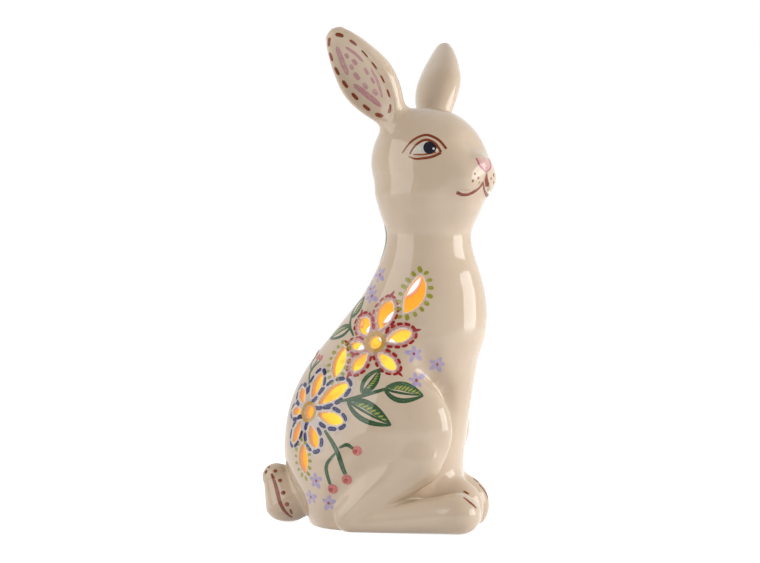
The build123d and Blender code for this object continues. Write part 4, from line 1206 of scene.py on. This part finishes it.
# The three cells: steel cans in a printed sleeve, plain charcoal with a copper shoulder at the positive end.
# They lie in turn head to tail, so the middle one is the other way about.
for label, way in (("battery_1", 1), ("battery_2", -1), ("battery_3", 1)):
    sleeve, nodes, links, shader = open_material("cell_sleeve_" + label[-1])
    place = nodes.new("ShaderNodeTexCoord")
    length = axes_of(place.outputs["Object"])["X"]
    nap = ramped(clouded(900.0, 3.0), 0.35, 0.65)
    charcoal = toned((0.030, 0.030, 0.033), (0.045, 0.044, 0.046), nap)
    copper = toned((0.46, 0.20, 0.075), (0.40, 0.165, 0.06), nap)
    bands = toned(charcoal, copper, ramped(length, way * 0.0106, way * 0.0109))
    positive_end = ramped(length, way * 0.0226, way * 0.0228)
    negative_end = ramped(length, way * -0.0196, way * -0.0194, 1.0, 0.0)
    bare_steel = reckoned("MAXIMUM", positive_end, negative_end)
    links.new(toned(bands, (0.60, 0.59, 0.56), bare_steel), shader.inputs["Base Color"])
    links.new(bare_steel, shader.inputs["Metallic"])
    links.new(ramped(nap, 0.0, 1.0, 0.28, 0.40), shader.inputs["Roughness"])
    dress(sleeve, label)

# The board: a glass-fibre disc with copper tracks under green solder mask, which stands on the housing's
# posts, and the timer chip and three resistors that are soldered on top of it.
board, nodes, links, shader = open_material("solder_mask")
place = nodes.new("ShaderNodeTexCoord")
tracks = nodes.new("ShaderNodeTexBrick")
fill_in(tracks, {"Scale": 130.0, "Mortar Size": 0.07, "Mortar Smooth": 0.2})
fill_in(tracks, {"Color1": (0.010, 0.085, 0.030, 1), "Color2": (0.013, 0.100, 0.036, 1)})
fill_in(tracks, {"Mortar": (0.050, 0.200, 0.060, 1)})
links.new(place.outputs["Object"], tracks.inputs["Vector"])
smears = ramped(clouded(300.0, 3.0), 0.4, 0.8)
links.new(toned(tracks.outputs["Color"], (0.012, 0.07, 0.03), smears), shader.inputs["Base Color"])
links.new(ramped(clouded(1500.0, 2.0), 0.3, 0.7, 0.22, 0.36), shader.inputs["Roughness"])
raised = nodes.new("ShaderNodeBump")
fill_in(raised, {"Strength": 0.4, "Distance": 0.0001})
links.new(tracks.outputs["Fac"], raised.inputs["Height"])
links.new(raised.outputs["Normal"], shader.inputs["Normal"])
dress(board, "led_board")
for label, name, tone, shade, relief in (
    ("timer_chip", "chip_epoxy", (0.022, 0.022, 0.024), (0.035, 0.034, 0.035), 0.0002),
    ("resistors", "resistor_film", (0.03, 0.035, 0.05), (0.10, 0.10, 0.11), 0.0001),
):
    dress(finished(name, moulded_grain, tone, shade, 0.0, relief), label)

# The lamps: three warm LEDs in clear epoxy lenses, brightest at the crown, under a frosted dome that spreads
# their light; the dome is pressed into the cover.
for name, label_list, dim, bright, low, high, strength in (
    ("led_epoxy", ("led_1", "led_2", "led_3"), (0.85, 0.40, 0.12), (1.0, 0.74, 0.38), 0.0185, 0.0260, 1.6),
    ("frosted_dome", ("diffuser_dome",), (0.70, 0.42, 0.18), (1.0, 0.76, 0.42), 0.0262, 0.0390, 0.8),
):
    lamp, nodes, links, shader = open_material(name)
    place = nodes.new("ShaderNodeTexCoord")
    height = axes_of(place.outputs["Object"])["Z"]
    frost = clouded(1400.0, 3.0)
    milky = toned((0.80, 0.76, 0.68), (0.72, 0.67, 0.58), ramped(frost, 0.35, 0.65))
    links.new(milky, shader.inputs["Base Color"])
    links.new(ramped(frost, 0.3, 0.7, 0.30, 0.50), shader.inputs["Roughness"])
    links.new(toned(dim, bright, ramped(height, low, high)), shader.inputs["Emission Color"])
    shader.inputs["Emission Strength"].default_value = strength
    dress(lamp, *label_list)

# The switch: a black slide switch let into the housing's underside, its small knob, and the insulated leads
# soldered to it, to the contacts and to the board.
for label, name, tone, shade, relief in (
    ("switch_body", "switch_black", (0.020, 0.020, 0.021), (0.030, 0.030, 0.031), 0.0002),
    ("switch_knob", "knob_black", (0.028, 0.027, 0.027), (0.045, 0.043, 0.042), 0.0003),
    ("wire_red", "lead_red", (0.42, 0.018, 0.012), (0.34, 0.014, 0.010), 0.00005),
    ("wire_black", "lead_black", (0.018, 0.018, 0.018), (0.030, 0.030, 0.030), 0.00005),
    ("switch_wires", "lead_white", (0.66, 0.65, 0.62), (0.58, 0.57, 0.53), 0.00005),
):
    dress(finished(name, moulded_grain, tone, shade, 0.0, relief), label)


# The stand: a wide white floor that the rabbit casts a soft shadow on, against a white room. In reflections
# the floor and the room grow dim towards the side where the camera stands, as a studio is dark there. Seen
# from below, the floor is clear, so that the light unit can be looked at as it is drawn out of the base.
floor_half, floor_level = 6.0, -0.0005
floor_mesh = bpy.data.meshes.new("floor")
corners = ((-1, -1), (1, -1), (1, 1), (-1, 1))
floor_points = [(floor_half * a, floor_half * b, floor_level) for a, b in corners]
floor_mesh.from_pydata(floor_points, [], [(0, 1, 2, 3)])
floor = bpy.data.objects.new("floor", floor_mesh)
bpy.context.scene.collection.objects.link(floor)
floor_paint, nodes, links, shader = open_material("white_floor")
fill_in(shader, {"Base Color": (0.8, 0.8, 0.8, 1), "Roughness": 0.9, "Specular IOR Level": 0.0})
fill_in(shader, {"Emission Color": (1, 1, 1, 1)})
sight = nodes.new("ShaderNodeLightPath").outputs
place = nodes.new("ShaderNodeTexCoord")
dimming = ramped(axes_of(place.outputs["Object"])["X"], -1.4, -0.1, 0.12, 1.0)
mirrored = reckoned("MULTIPLY", sight["Is Glossy Ray"], dimming)
seen = reckoned("MAXIMUM", sight["Is Camera Ray"], sight["Is Transmission Ray"])
paleness = reckoned("MULTIPLY", reckoned("MAXIMUM", seen, mirrored), 0.86)
links.new(paleness, shader.inputs["Emission Strength"])
underside = nodes.new("ShaderNodeNewGeometry")
from_below = reckoned("MULTIPLY", underside.outputs["Backfacing"], sight["Is Camera Ray"])
links.new(reckoned("LESS_THAN", from_below, 0.5), shader.inputs["Alpha"])
floor_mesh.materials.append(floor_paint)

room = bpy.data.worlds.new("white_room")
bpy.context.scene.world = room
room.use_nodes = True
nodes, links = room.node_tree.nodes, room.node_tree.links
sky = nodes["Background"]
sky.inputs["Color"].default_value = (1, 1, 1, 1)
sight = nodes.new("ShaderNodeLightPath").outputs
place = nodes.new("ShaderNodeTexCoord")
dimming = ramped(axes_of(place.outputs["Generated"])["X"], -0.35, 0.55, 0.28, 1.0)
mirrored = nodes.new("ShaderNodeMix")
mirrored.inputs["A"].default_value = 0.42
links.new(sight["Is Glossy Ray"], mirrored.inputs["Factor"])
links.new(dimming, mirrored.inputs["B"])
seen = reckoned("MAXIMUM", sight["Is Camera Ray"], sight["Is Transmission Ray"])
links.new(reckoned("MAXIMUM", seen, mirrored.outputs["Result"]), sky.inputs["Strength"])


# The light: two upright soft boxes, one on each side of the camera, as a product table has, and a fill that
# leaves no mirror image in the glaze.
camera_turn = math.radians(-78.0)
studio_radius = 1.3
aimed_at = Vector((0, -0.03, 0.17))


def soft_box(name, turn, height, width, tall, power, mirrored=True):
    """A soft box so many degrees round from the camera, aimed at the rabbit."""
    light = bpy.data.lights.new(name, "AREA")
    light.shape = "RECTANGLE"
    light.size, light.size_y, light.energy = width, tall, power
    box = bpy.data.objects.new(name, light)
    angle = camera_turn + math.radians(turn)
    box.location = (studio_radius * math.sin(angle), aimed_at.y - studio_radius * math.cos(angle), height)
    box.rotation_euler = (aimed_at - box.location).to_track_quat("-Z", "Y").to_euler()
    box.visible_glossy = mirrored
    bpy.context.scene.collection.objects.link(box)


soft_box("soft_box_left", -66, 0.34, 1.20, 1.5, 11.5)
soft_box("soft_box_right", 80, 0.30, 0.80, 0.74, 9.5)
soft_box("fill_right", 72, 0.36, 1.10, 1.1, 6, mirrored=False)


# The camera: level with the rabbit's chest and a little ahead of its right side, as far off as the soft
# boxes, with a lens that frames the rabbit as the photograph does.
camera_data = bpy.data.cameras.new("camera")
camera_data.lens, camera_data.sensor_width = 91.5, 36.0
camera = bpy.data.objects.new("camera", camera_data)
camera_x = 0.0001 + studio_radius * math.sin(camera_turn)
camera_y = -0.0067 - studio_radius * math.cos(camera_turn)
camera.location = (camera_x, camera_y, 0.163)
camera.rotation_euler = (math.radians(90), 0, camera_turn)
bpy.context.scene.collection.objects.link(camera)
bpy.context.scene.camera = camera
bpy.context.scene.view_settings.view_transform = "Standard"
